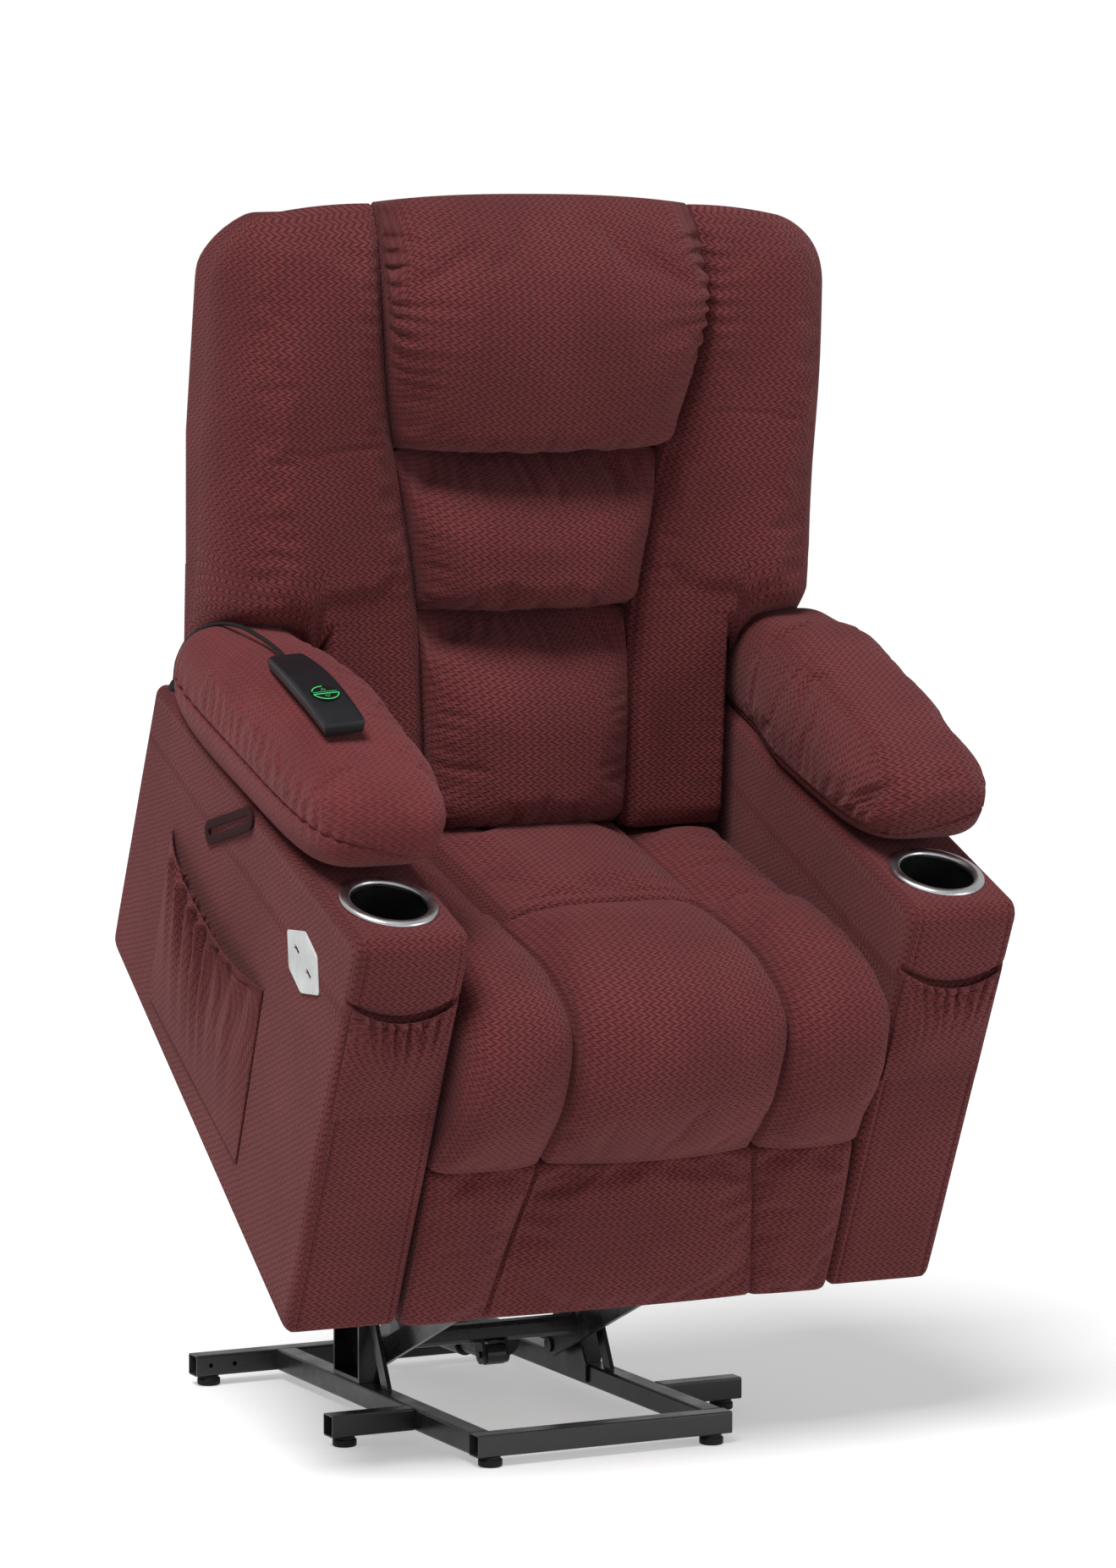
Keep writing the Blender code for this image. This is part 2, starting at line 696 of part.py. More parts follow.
def build_lift_arms(lower_arms, upper_arms):
    hole = PIN_RADIUS + PIN_PLAY
    direction = (Vector(LOWER_ARM_END) - Vector(LOWER_PIVOT)).normalized()
    bar = Vector(LOWER_PIVOT) + direction * LOWER_BAR_DISTANCE
    for tag, side in SIDES.items():
        rim = around([LOWER_PIVOT, LOWER_ARM_END], LOWER_ARM_HALF)
        holes = [circle(LOWER_PIVOT, hole), circle(LOWER_ARM_END, hole)]
        arm = sided(f"lower_lift_arm_{tag}", [rim, *holes], side, *LOWER_ARM)
        lower_arms.hold(arm, STEEL)
        rim = bent_strap(TORQUE_TUBE, UPPER_PIVOT, UPPER_ARM_END, UPPER_ARM_HALF)
        holes = [circle(UPPER_PIVOT, hole), circle(UPPER_ARM_END, hole + UPPER_EYE_SLACK)]
        arm = sided(f"upper_lift_arm_{tag}", [rim, *holes], side, *UPPER_ARM)
        upper_arms.hold(arm, STEEL)
    reach = LOWER_ARM[1] - GAP
    rims = [circle(bar, CROSS_BAR_RADIUS), circle(bar, CROSS_BAR_RADIUS - TORQUE_WALL)]
    lower_arms.hold(flat_solid("lower_cross_bar", rims, -reach, reach), STEEL)
    build_torque_tube(upper_arms)


def build_torque_tube(upper_arms):
    reach = UPPER_ARM[1] - GAP
    rims = [circle(TORQUE_TUBE, TORQUE_RADIUS), circle(TORQUE_TUBE, TORQUE_RADIUS - TORQUE_WALL)]
    tube = flat_solid("torque_tube", rims, -reach, reach)
    in_wall = TORQUE_RADIUS - TORQUE_WALL / 2
    lug = arc(TORQUE_TUBE, in_wall, math.radians(-35), math.radians(-145), 9)
    lug += arc(LUG_PIN, LUG_RADIUS, math.pi, math.tau, 9)
    upper_arms.hold(union(tube, *clevis("torque", lug, LUG_PIN)), STEEL)


def build_actuator(housing_frame, rod_frame, length):
    """Drawn along +Y from the clevis pin; the motor lies beside the screw tube."""
    eye_half = LUG_INNER - 0.001
    hole = LUG_PIN_RADIUS + PIN_PLAY
    eye_rims = [around([(0.0, 0.0), (REAR_EYE_REACH, 0.0)], REAR_EYE_RADIUS), circle((0.0, 0.0), hole)]
    rear_eye = flat_solid("actuator_housing", eye_rims, -eye_half, eye_half)
    case = box_outline((-GEARBOX_HALF, -GEARBOX_HALF), (MOTOR_OFFSET + GEARBOX_HALF, GEARBOX_HALF))
    start = GEARBOX_START
    end = start + GEARBOX_LENGTH
    gearbox = flat_solid("gearbox", [rounded(case, GEARBOX_CORNER)], start, end, ACROSS_Y)

    def along(name, from_y, to_y, radius, x=0.0):
        return cylinder(name, (x, from_y, 0.0), (x, to_y, 0.0), radius, 20)

    motor = along("motor", end - 0.002, end + MOTOR_LENGTH, MOTOR_RADIUS, MOTOR_OFFSET)
    tube = along("screw_tube", end - 0.002, OUTER_TUBE_END, OUTER_TUBE_RADIUS)
    union(rear_eye, gearbox, motor, tube)
    cut(rear_eye, along("screw_bore", end + 0.001, OUTER_TUBE_END + 0.01, ROD_RADIUS + 0.0006))
    housing_frame.hold(rear_eye, PLASTIC)
    rod = along("actuator_rod", ROD_INSIDE, length - EYE_RADIUS * 0.6, ROD_RADIUS)
    eye = flat_solid("rod_eye", [circle((length, 0.0), EYE_RADIUS, 20)], -eye_half, eye_half)
    bore = [circle((length, 0.0), hole + EYE_SLACK, 16)]
    cut(union(rod, eye), flat_solid("rod_eye_bore", bore, -2 * eye_half, 2 * eye_half))
    rod_frame.hold(rod, ZINC)


# ---------------------------------------------------------------- carriage and arms


def build_carriage(carriage):
    rail_low, rail_high = CARRIAGE_RAIL
    for tag, side in SIDES.items():
        low_x, high_x = sorted((side * CARRIAGE_RAIL_INNER, side * CARRIAGE_RAIL_OUTER))
        walls = hollow_box((low_x, rail_low), (high_x, rail_high))
        rail = flat_solid(f"carriage_rail_{tag}", walls, *CARRIAGE_RAIL_ENDS, ACROSS_Y)
        bracket = rounded(
            [
                (CARRIAGE_LOWER_PIN[0] - 0.014, CARRIAGE_LOWER_PIN[1] - 0.013),
                (CARRIAGE_LOWER_PIN[0] + 0.014, CARRIAGE_LOWER_PIN[1] - 0.013),
                (CARRIAGE_UPPER_PIN[0] + 0.016, CARRIAGE_UPPER_PIN[1] - 0.006),
                (CARRIAGE_UPPER_PIN[0] + 0.050, rail_low + TUBE_WALL / 2),
                (CARRIAGE_RAIL_ENDS[0] + 0.002, rail_low + TUBE_WALL / 2),
                (CARRIAGE_UPPER_PIN[0] - 0.020, CARRIAGE_UPPER_PIN[1] + 0.004),
            ],
            0.005,
        )
        plate = sided(f"bracket_{tag}", [bracket], side, BRACKET_INNER, BRACKET_OUTER)
        studs = []
        for name, centre, link, head in (
            ("lower", CARRIAGE_LOWER_PIN, LOWER_ARM, HEAD_RADIUS),
            ("upper", CARRIAGE_UPPER_PIN, UPPER_ARM, PIN_RADIUS + UPPER_EYE_SLACK + 0.003),
        ):
            faces = link_faces(BRACKET_INNER + 0.001, link)
            studs.append(stud(f"carriage_{name}_stud_{tag}", side, centre, faces, PIN_RADIUS, head, head))
        carriage.hold(union(rail, plate, *studs), STEEL)
    bar_low = rail_high + GAP
    reach = ARM_INNER - GAP
    for place, y in (("front", FRONT_CROSS_Y), ("rear", REAR_CROSS_Y)):
        walls = hollow_box((y, bar_low), (y + CROSS_BAR_DEPTH, bar_low + CROSS_BAR_HEIGHT))
        carriage.hold(flat_solid(f"carriage_{place}_bar", walls, -reach, reach), STEEL)


def on_line(line, place):
    """The second value of a broken line of pairs, where the first one is `place`."""
    return float(np.interp(place, [p[0] for p in line], [p[1] for p in line]))


def deck_height(y):
    """The height of an arm's top face."""
    return on_line((ARM_FRONT_TOP, ARM_REAR_TOP), y)


DECK_SLOPE = math.atan2(ARM_REAR_TOP[1] - ARM_FRONT_TOP[1], ARM_REAR_TOP[0] - ARM_FRONT_TOP[0])
DECK_NORMAL = Vector((0.0, -math.sin(DECK_SLOPE), math.cos(DECK_SLOPE)))


def build_arm(carriage, tag, side):
    """An upholstered arm box, its cup, the cup's bright ring and its front pocket."""
    outline = rounded([(0.0, 0.0), ARM_REAR_FOOT, ARM_REAR_TOP, ARM_FRONT_TOP], ARM_CORNER, 3)
    arm = sided(f"arm_{tag}", [outline], side, ARM_INNER, ARM_OUTER)
    round_edges(arm, ARM_EDGE, 3)
    cup_x = side * (ARM_INNER + ARM_WIDTH / 2)
    cup_top = Vector((cup_x, CUP_Y, deck_height(CUP_Y)))
    floor = cup_top - DECK_NORMAL * (CUP_DEPTH + CUP_FLOOR_PLAY)
    well = cylinder(f"cup_well_{tag}", floor, cup_top + DECK_NORMAL * 0.02, CUP_RADIUS + GAP * 2, 24)
    carriage.hold(cut(arm, well), FABRIC)
    inside = CUP_RADIUS - CUP_WALL
    profile = [(0.0, -CUP_DEPTH), (CUP_RADIUS - CUP_FLOOR_EDGE, -CUP_DEPTH)]
    profile += [(CUP_RADIUS, -CUP_DEPTH + CUP_FLOOR_EDGE), (CUP_RADIUS, 0.0), (inside, 0.0)]
    profile += [(inside, -CUP_DEPTH + 0.006), (0.0, -CUP_DEPTH + CUP_WALL)]
    carriage.hold(turned(f"cup_{tag}", profile, cup_top, DECK_NORMAL, 24), PLASTIC)
    middle = (CUP_RING_RADIUS + inside) / 2
    half = (CUP_RING_RADIUS - inside) / 2
    ring = [
        (middle + half * math.cos(t), GAP + CUP_RING_HEIGHT * math.sin(t))
        for t in np.linspace(0, math.pi, 5)
    ]
    carriage.hold(turned(f"cup_ring_{tag}", [*ring, ring[0]], cup_top, DECK_NORMAL, 24), CHROME)
    build_front_pocket(carriage, tag, side)
    return arm


def pocket_swell(a, b, folds):
    """How far a gathered pocket stands off its panel, from 0 at its sewn edges to 1."""
    across = (1 - abs(2 * a - 1) ** 3) ** 0.8
    upward = math.sin(math.pi / 2 * min(1.0, b / 0.62)) ** 1.2
    upward *= 1 - 0.30 * max(0.0, b - 0.62) / 0.38
    pleat = 0.5 + 0.5 * math.cos(math.tau * folds * a)
    return across * (0.74 * upward + 0.26 * pleat * b * b)


def build_front_pocket(carriage, tag, side):
    """A pouch on an arm's front, open at its sagging top edge."""
    front_slope = ARM_FRONT_TOP[0] / ARM_FRONT_TOP[1]
    inner = ARM_INNER + POCKET_MARGIN + ARM_EDGE * 0.4
    outer = ARM_OUTER - POCKET_MARGIN - ARM_EDGE * 0.4

    def place(a, b, c):
        x = side * (inner + (outer - inner) * a)
        sag = FRONT_POCKET_SAG * (1 - (2 * a - 1) ** 2) * b
        z = FRONT_POCKET_FOOT + (FRONT_POCKET_TOP - FRONT_POCKET_FOOT) * b - sag
        off = GAP + FRONT_POCKET_SWELL * pocket_swell(a, b, 4) + CLOTH * c
        return (x, z * front_slope - off, z)

    stations = (np.linspace(0, 1, 13), (0.0, 0.12, 0.3, 0.5, 0.68, 0.82, 0.92, 1.0), (0.0, 1.0))
    carriage.hold(lattice(f"front_pocket_{tag}", stations, place), FABRIC)


def build_side_fittings(carriage, arm):
    """The gathered side pocket, the socket plate and the pull loop of the left arm."""
    rear_foot, front_foot, front_top, rear_top = (Vector(corner) for corner in SIDE_POCKET)

    def place(a, b, c):
        foot = rear_foot.lerp(front_foot, a)
        top = rear_top.lerp(front_top, a)
        spot = foot.lerp(top, b)
        off = GAP + SIDE_POCKET_SWELL * pocket_swell(a, b, 6) + CLOTH * c
        return (-ARM_OUTER - off, spot.x, spot.y)

    stations = (np.linspace(0, 1, 19), (0.0, 0.15, 0.35, 0.55, 0.72, 0.86, 0.94, 1.0), (0.0, 1.0))
    carriage.hold(lattice("side_pocket", stations, place), FABRIC)

    corners = [Vector(corner) for corner in PLATE_CORNERS]
    centre = sum(corners, Vector((0.0, 0.0))) / len(corners)
    lean = heading(corners[3], corners[0])
    along = Vector((math.cos(lean), math.sin(lean)))
    across = Vector((-along.y, along.x))
    ports = []
    for sign in (-1, 1):
        middle = centre + along * sign * PORT_SPREAD
        reach, rise = along * PORT_SIZE[0] / 2, across * PORT_SIZE[1] / 2
        spots = (-reach - rise, reach - rise, reach + rise, -reach + rise)
        ports.append([tuple(middle + v) for v in spots])
    face = ARM_OUTER + GAP
    rim = rounded(corners[::-1], PLATE_CORNER)
    plate = sided("usb_plate", [rim, *ports], -1, face, face + PLATE_THICKNESS)
    carriage.hold(plate, WHITE)
    for index, port in enumerate(ports):
        cut(arm, sided(f"port_recess_{index}", [port], -1, ARM_OUTER - PORT_DEPTH, face))

    rings = [around([LOOP_REAR, LOOP_FRONT], LOOP_HALF - inset, 6) for inset in (0.0, LOOP_STROKE)]
    carriage.hold(sided("pull_loop", rings, -1, face, face + LOOP_THICKNESS), STRAP)


def pad_surface(a, b, c):
    """A point of a block of half sides 1, pressed into an arm pad; a points away from the seat."""
    size = max(abs(a), abs(b), abs(c))
    plan = (abs(a) ** PAD_SQUARE + abs(b) ** PAD_SQUARE) ** (PAD_CROWN / PAD_SQUARE)
    length = (plan + abs(c) ** PAD_CROWN) ** (1 / PAD_CROWN)
    a, b, c = (v * size / length for v in (a, b, c))
    y = (PAD_FRONT + PAD_REAR) / 2 + b * (PAD_REAR - PAD_FRONT) / 2
    rise = on_line(PAD_TOP_LINE, y) - PAD_MIDDLE
    z = max(PAD_MIDDLE + c * (rise if c > 0 else PAD_FALL), deck_height(y) + GAP * 1.2)
    tuck = (ARM_INNER - PAD_INNER) * float(np.interp(y, PAD_TUCK, (0.0, 1.0)))
    crease = PAD_CREASE * max(0.0, 1 - abs(c) * 5)
    inner = PAD_INNER + tuck
    x = (inner + PAD_OUTER) / 2 + a * ((PAD_OUTER - inner) / 2 - crease)
    return x, y, z


def build_arm_pad(carriage, tag, side):
    def place(a, b, c):
        x, y, z = pad_surface(a, b, c)
        return (side * x, y, z)

    across = (-1, -0.8, -0.45, 0, 0.45, 0.8, 1)
    along = (-1, -0.88, -0.7, -0.45, -0.15, 0.15, 0.45, 0.7, 0.88, 1)
    upward = (-1, -0.75, -0.3, 0, 0.3, 0.75, 1)
    carriage.hold(lattice(f"arm_pad_{tag}", (across, along, upward), place), FABRIC)


# ---------------------------------------------------------------- handset and cord


def button_outline(sign, clearance=0.0):
    """Half of a round button, on the rear (+1) or front (-1) side of the split."""
    radius = BUTTON_RADIUS + clearance
    edge = BUTTON_SPLIT / 2 - clearance
    turn = math.asin(edge / radius)
    outline = arc((0.0, 0.0), radius, turn, math.pi - turn, 10)
    return [(x, BUTTON_Y + sign * y) for x, y in outline][::sign]


def build_handset(handset, buttons):
    """A tapered, slightly bowed shell with two half-round keys."""
    half_length, half_width = HANDSET_LENGTH / 2, HANDSET_WIDTH / 2
    height = HANDSET_HEIGHT

    def place(a, b, c):
        width = half_width * (1 - 0.12 * max(0.0, b) ** 2) * (1 - 0.10 * (1 - c))
        thick = height * (0.80 + 0.20 * math.cos(0.5 * math.pi * b))
        return (a * width, b * half_length, thick * c - HANDSET_BOW * b * b)

    stations = ((-1.0, 1.0), np.linspace(-1, 1, 9), (0.0, 0.5, 1.0))
    shell = round_edges(lattice("handset_shell", stations, place), HANDSET_EDGE, 2)
    above = height + BUTTON_HEIGHT * 4
    floor = height - BUTTON_RECESS
    foot = floor + BUTTON_TRAVEL + GAP
    for sign, frame in zip((1, -1), buttons):
        name = "up" if sign > 0 else "down"
        recess = flat_solid(f"{name}_recess", [button_outline(sign, GAP)], floor, above, ACROSS_Z)
        cut(shell, recess)
        outline = [button_outline(sign)]
        button = flat_solid(f"handset_button_{name}", outline, foot, foot + BUTTON_HEIGHT, ACROSS_Z)
        frame.hold(button, PLASTIC)
    handset.hold(shell, PLASTIC)


def smooth_route(points, spacing):
    """Points about `spacing` apart on a smooth curve through the chosen ones."""
    chosen = [Vector(p) for p in points]
    padded = [2 * chosen[0] - chosen[1], *chosen, 2 * chosen[-1] - chosen[-2]]
    route = []
    for p0, p1, p2, p3 in zip(padded, padded[1:], padded[2:], padded[3:]):
        count = max(2, round((p2 - p1).length / spacing))
        for t in np.linspace(0, 1, count, endpoint=False):
            bend = (3 * p1 - p0 - 3 * p2 + p3) * t**3 + (2 * p0 - 5 * p1 + 4 * p2 - p3) * t**2
            route.append(p1 + 0.5 * ((p2 - p0) * t + bend))
    return [*route, chosen[-1]]


def build_cord(carriage):
    """The handset's cord over the crest of the pad and down to its gland behind it."""
    gland_foot = Vector((*GLAND_PLACE, deck_height(GLAND_PLACE[1]) + GAP))
    gland_top = gland_foot + DECK_NORMAL * GLAND_HEIGHT
    profile = [(0.0, 0.0), (GLAND_RADIUS, 0.0), (GLAND_RADIUS, GLAND_COLLAR)]
    profile += [(GLAND_RADIUS * 0.65, GLAND_HEIGHT), (0.0, GLAND_HEIGHT)]
    carriage.hold(turned("cord_gland", profile, gland_foot, DECK_NORMAL, 16), PLASTIC)
    turn = HANDSET_TURN.to_matrix()
    mouth = Vector((0.0, HANDSET_LENGTH / 2 + GAP, HANDSET_HEIGHT * 0.32))
    mouth = Vector(HANDSET_PLACE) + turn @ mouth
    rearward = turn @ Vector((0.0, 1.0, 0.0))
    route = [
        mouth,
        mouth + rearward * 0.018,
        (-0.3560, 0.3850, 0.6500),
        (-0.3600, 0.4350, 0.6420),
        (-0.3670, 0.4850, 0.6230),
        (-0.3760, 0.5230, 0.5920),
        (-0.3800, 0.5390, 0.5600),
        gland_top + DECK_NORMAL * GAP,
    ]
    curve = bpy.data.curves.new("handset_cord", "CURVE")
    curve.dimensions = "3D"
    curve.bevel_depth = CORD_RADIUS
    curve.bevel_resolution = 2
    curve.use_fill_caps = True
    points = smooth_route(route, CORD_STEP)
    spline = curve.splines.new("POLY")
    spline.points.add(len(points) - 1)
    for knot, point in zip(spline.points, points):
        knot.co = (*point, 1.0)
    cord = bpy.data.objects.new("handset_cord", curve)
    PARTS.objects.link(cord)
    carriage.hold(cord, RUBBER)
    length = sum((b - a).length for a, b in zip(points, points[1:]))
    print(f"handset cord, free length {length:.3f} m")


# ---------------------------------------------------------------- seat


def along_path(t, stops, points):
    """The (y, z) at t on a broken line with a point at each stop."""
    return Vector([np.interp(t, stops, values) for values in zip(*points)])


def channel_crown(x, edges):
    """0 at each seam, 1 in the middle of each channel."""
    place = int(np.clip(np.searchsorted(edges, x) - 1, 0, len(edges) - 2))
    share = (x - edges[place]) / (edges[place + 1] - edges[place])
    return max(0.0, 1 - (2 * share - 1) ** 2) ** 0.6


def build_seat_cushion(seat):
    """Three stuffed channels that roll over the front edge, and a raised pad on the middle one."""
    bottom = SEAT_FRAME_HEIGHTS[1] + GAP
    front_gap = SEAT_FRAME_ENDS[0] - 0.0025
    rear = BACK_HINGE[0] - 0.030
    stops = [0.0, 0.16, 0.30, 0.40, 0.62, 1.0]
    top_line = [(-0.012, 0.201), (-0.047, 0.290), (-0.036, 0.368)]
    top_line += [(0.020, 0.392), (SEAT_PAD_FRONT, 0.392), (rear, 0.386)]
    under_line = [(front_gap, 0.204), (front_gap, 0.232), (front_gap, bottom)]
    under_line += [(0.075, bottom), (0.200, bottom), (rear, bottom)]
    edges = [-SEAT_CUSHION_HALF - 0.02, -SEAT_SEAM, SEAT_SEAM, SEAT_CUSHION_HALF + 0.02]
    normal_turn = [(-0.50, -0.86), (-0.97, -0.10), (-0.75, 0.66), (-0.12, 0.99), (0.0, 1.0), (0.0, 1.0)]

    def place(a, b, c):
        shrink = max(0.0, (abs(a) - SEAT_CUSHION_HALF + SEAT_EDGE[0]) / SEAT_EDGE[0])
        under = along_path(b, stops, under_line)
        outer = along_path(b, stops, top_line)
        swell = channel_crown(a, edges) * math.sin(math.pi * min(1.0, 0.06 + b * 0.92)) ** 0.7
        swell *= 1.25 if abs(a) < SEAT_SEAM else 1.0
        on_pad = abs(a) < SEAT_PAD_HALF and b > 0.625
        lift = SEAT_CROWN * swell * (0.45 if b > 0.62 else 1.0) + (SEAT_PAD_RISE if on_pad else 0.0)
        outward = along_path(b, stops, normal_turn).normalized()
        surface = outer + outward * (lift - SEAT_EDGE[1] * shrink**2)
        point = under.lerp(surface, c)
        x = a - math.copysign(0.004 * shrink * c, a)
        return (x, *point)

    half = [0.060, 0.1105, 0.1165, SEAT_SEAM, 0.1315, 0.155, 0.200, 0.235, 0.248, SEAT_CUSHION_HALF]
    across = [-x for x in reversed(half)] + [0.0] + half
    along = (0.0, 0.05, 0.10, 0.16, 0.22, 0.26, 0.30, 0.35, 0.40, 0.48, 0.56)
    along += (0.615, 0.632, 0.72, 0.82, 0.92, 1.0)
    seat.hold(lattice("seat_cushion", (across, along, (0.0, 0.6, 1.0)), place), FABRIC)


def build_seat_frame(seat):
    """The seat deck with the plates that carry the back hinge and the legrest links."""
    low, high = SEAT_FRAME_HEIGHTS
    front, rear = SEAT_FRAME_ENDS
    outline = rounded(box_outline((-SEAT_FRAME_HALF, front), (SEAT_FRAME_HALF, rear)), BOARD_CORNER, 2)
    frame = flat_solid("seat_frame", [outline], low, high, ACROSS_Z)
    hanger = around([LEG_STUD, (LEG_STUD[0], low)], 0.014)
    ear = around([(rear - 0.0015, low + 0.012), BACK_HINGE], 0.0095)
    plates = plate_pair("link_hanger", [hanger], *HANGER)
    plates += plate_pair("back_ear", [ear], BACK_NARROW_HALF + GAP * 5, BACK_NARROW_HALF + 0.0055)
    plates += back_pins("back_pin", 0.004, 0.010, PIN_RADIUS)
    for tag, side in SIDES.items():
        faces = link_faces(HANGER[1] + 0.001, REAR_LINK, LEG_HEAD_THICKNESS)
        radii = (LEG_PIN_RADIUS, LEG_HEAD_RADIUS, LEG_HEAD_RADIUS)
        plates.append(stud(f"link_stud_{tag}", side, LEG_STUD, faces, *radii))
    seat.hold(union(frame, *plates), BOARD)


def back_pins(name, outward, inward, radius):
    """A cylinder on the back's hinge line at each side, from outside the back to inside it."""
    return [
        cylinder(
            f"{name}_{tag}",
            (side * (BACK_NARROW_HALF + outward), *BACK_HINGE),
            (side * (BACK_NARROW_HALF - inward), *BACK_HINGE),
            radius,
        )
        for tag, side in SIDES.items()
    ]


# ---------------------------------------------------------------- back

BACK_FRONT_LINE = ((0.29, 0.450), (0.41, 0.4665), (0.56, 0.500), (0.79, 0.565), (0.98, 0.597), (1.08, 0.604))
BACK_REAR_LINE = ((0.29, 0.500), (0.41, 0.537), (0.56, 0.580), (0.79, 0.658), (0.98, 0.690), (1.08, 0.664))
SEAM_DEPTH_LINE = ((0.41, 0.380), (0.635, 0.455), (0.81, 0.501), (1.01, 0.533), (1.08, 0.575))
SEAM_LINE = ((0.41, 0.119), (0.635, 0.131), (1.03, 0.197), (1.08, 0.194))
WING_EDGE_LINE = ((0.41, 0.398), (0.635, 0.445), (0.73, 0.472), (0.93, 0.520), (1.08, 0.585))


def corner_inset(z, top, radius):
    """How far a rounded top corner has drawn in at a height."""
    share = max(0.0, min(1.0, (z - top + radius) / radius))
    return radius * (1 - math.sqrt(max(0.0, 1 - share * share)))


def build_back_frame(back):
    """The upholstered back shell, narrow between the arms and wide above them."""

    def place(a, b, c):
        step = ((BACK_WING_LOW, BACK_NARROW_HALF), (BACK_WING_LOW + 0.004, BACK_WIDE_HALF))
        half = on_line(step, b) - corner_inset(b, BACK_TOP + 0.01, BACK_CORNER)
        half -= 0.010 * max(0.0, (c - 0.8) / 0.2) ** 2
        front = on_line(BACK_FRONT_LINE, b)
        if abs(a) > 0.69 and BACK_WING_LOW < b < 0.65:
            front = max(front, BACK_WING_FRONT)
        y = front * (1 - c) + on_line(BACK_REAR_LINE, b) * c
        return (a * half, y, b)

    across = (-1.0, -0.70, -0.68, 0.0, 0.68, 0.70, 1.0)
    heights = (0.29, 0.35, 0.41, BACK_WING_LOW, BACK_WING_LOW + 0.004, 0.64, 0.66)
    heights += (0.79, 0.90, 0.96, 0.99, 1.015, BACK_TOP)
    frame = lattice("back_frame", (across, heights, (0.0, 0.8, 1.0)), place)
    back.hold(cut(frame, *back_pins("back_bore", 0.010, 0.012, PIN_RADIUS + PIN_PLAY)), FABRIC)


def build_wing(back, tag, side):
    """A stuffed side of the back: a strip between the arms that spreads above them."""
    top = WING_TOP

    def place(a, b, c):
        spread = float(np.interp(b, [0.630, 0.660], [WING_NARROW_HALF, WING_WIDE_HALF]))
        outer = spread - corner_inset(b, top + 0.012, WING_CORNER)
        inner = on_line(SEAM_LINE, b) + SOFT_GAP
        x = inner + (outer - inner) * a
        rear = min(on_line(BACK_FRONT_LINE, b), on_line(BACK_FRONT_LINE, BACK_TOP)) - PILLOW_GAP
        edge = on_line(SEAM_DEPTH_LINE, b) * (1 - a) + on_line(WING_EDGE_LINE, b) * a
        puff = max(0.0, 4 * a * (1 - a)) ** 0.6
        puff *= min(1.0, (b - 0.41) / 0.03 + 0.2) * min(1.0, (top + 0.01 - b) / 0.06)
        side_round = WING_EDGE_ROUND * max(0.0, (a - 0.80) / 0.20) ** 2
        front = edge - WING_CROWN * puff + side_round
        return (side * x, front + (rear - front) * c, b)

    heights = (0.412, 0.43, 0.48, 0.56, 0.630, 0.645, 0.660, 0.73)
    heights += (0.81, 0.90, 0.97, 1.01, 1.035, 1.052, top)
    stations = ((0.0, 0.08, 0.25, 0.5, 0.72, 0.88, 1.0), heights, (0.0, 0.35, 1.0))
    back.hold(lattice(f"back_wing_{tag}", stations, place), FABRIC)


def even_rise(b):
    """How full a pillow is from its lower seam to its upper one."""
    return max(0.0, 4 * b * (1 - b)) ** 0.55


def head_rise(b):
    """The same for the head pillow, which is fullest low down."""
    return max(0.0, min(1.0, b * 6) * min(1.0, (1 - b) * 3)) ** 0.6


def build_pillow(back, name, seams, fullness=even_rise):
    """A stuffed pillow of the middle column between two seams."""
    low, high = seams

    def place(a, b, c):
        z = low + (high - low) * b
        half = on_line(SEAM_LINE, z)
        rise = fullness(b)
        puff = max(0.0, 1 - a * a) ** 0.5 * rise
        rear = min(on_line(BACK_FRONT_LINE, z), on_line(BACK_FRONT_LINE, BACK_TOP)) - PILLOW_GAP
        seam = on_line(SEAM_DEPTH_LINE, z) + PILLOW_TUCK * (1 - rise)
        front = min(seam - PILLOW_CROWN * puff, rear - 0.004)
        return (a * half, front + (rear - front) * c, z)

    across = (-1.0, -0.93, -0.8, -0.6, -0.3, 0.0, 0.3, 0.6, 0.8, 0.93, 1.0)
    upward = (0.0, 0.03, 0.09, 0.2, 0.35, 0.5, 0.65, 0.8, 0.91, 0.97, 1.0)
    back.hold(lattice(name, (across, upward, (0.0, 0.5, 1.0)), place), FABRIC)


# ---------------------------------------------------------------- legrest


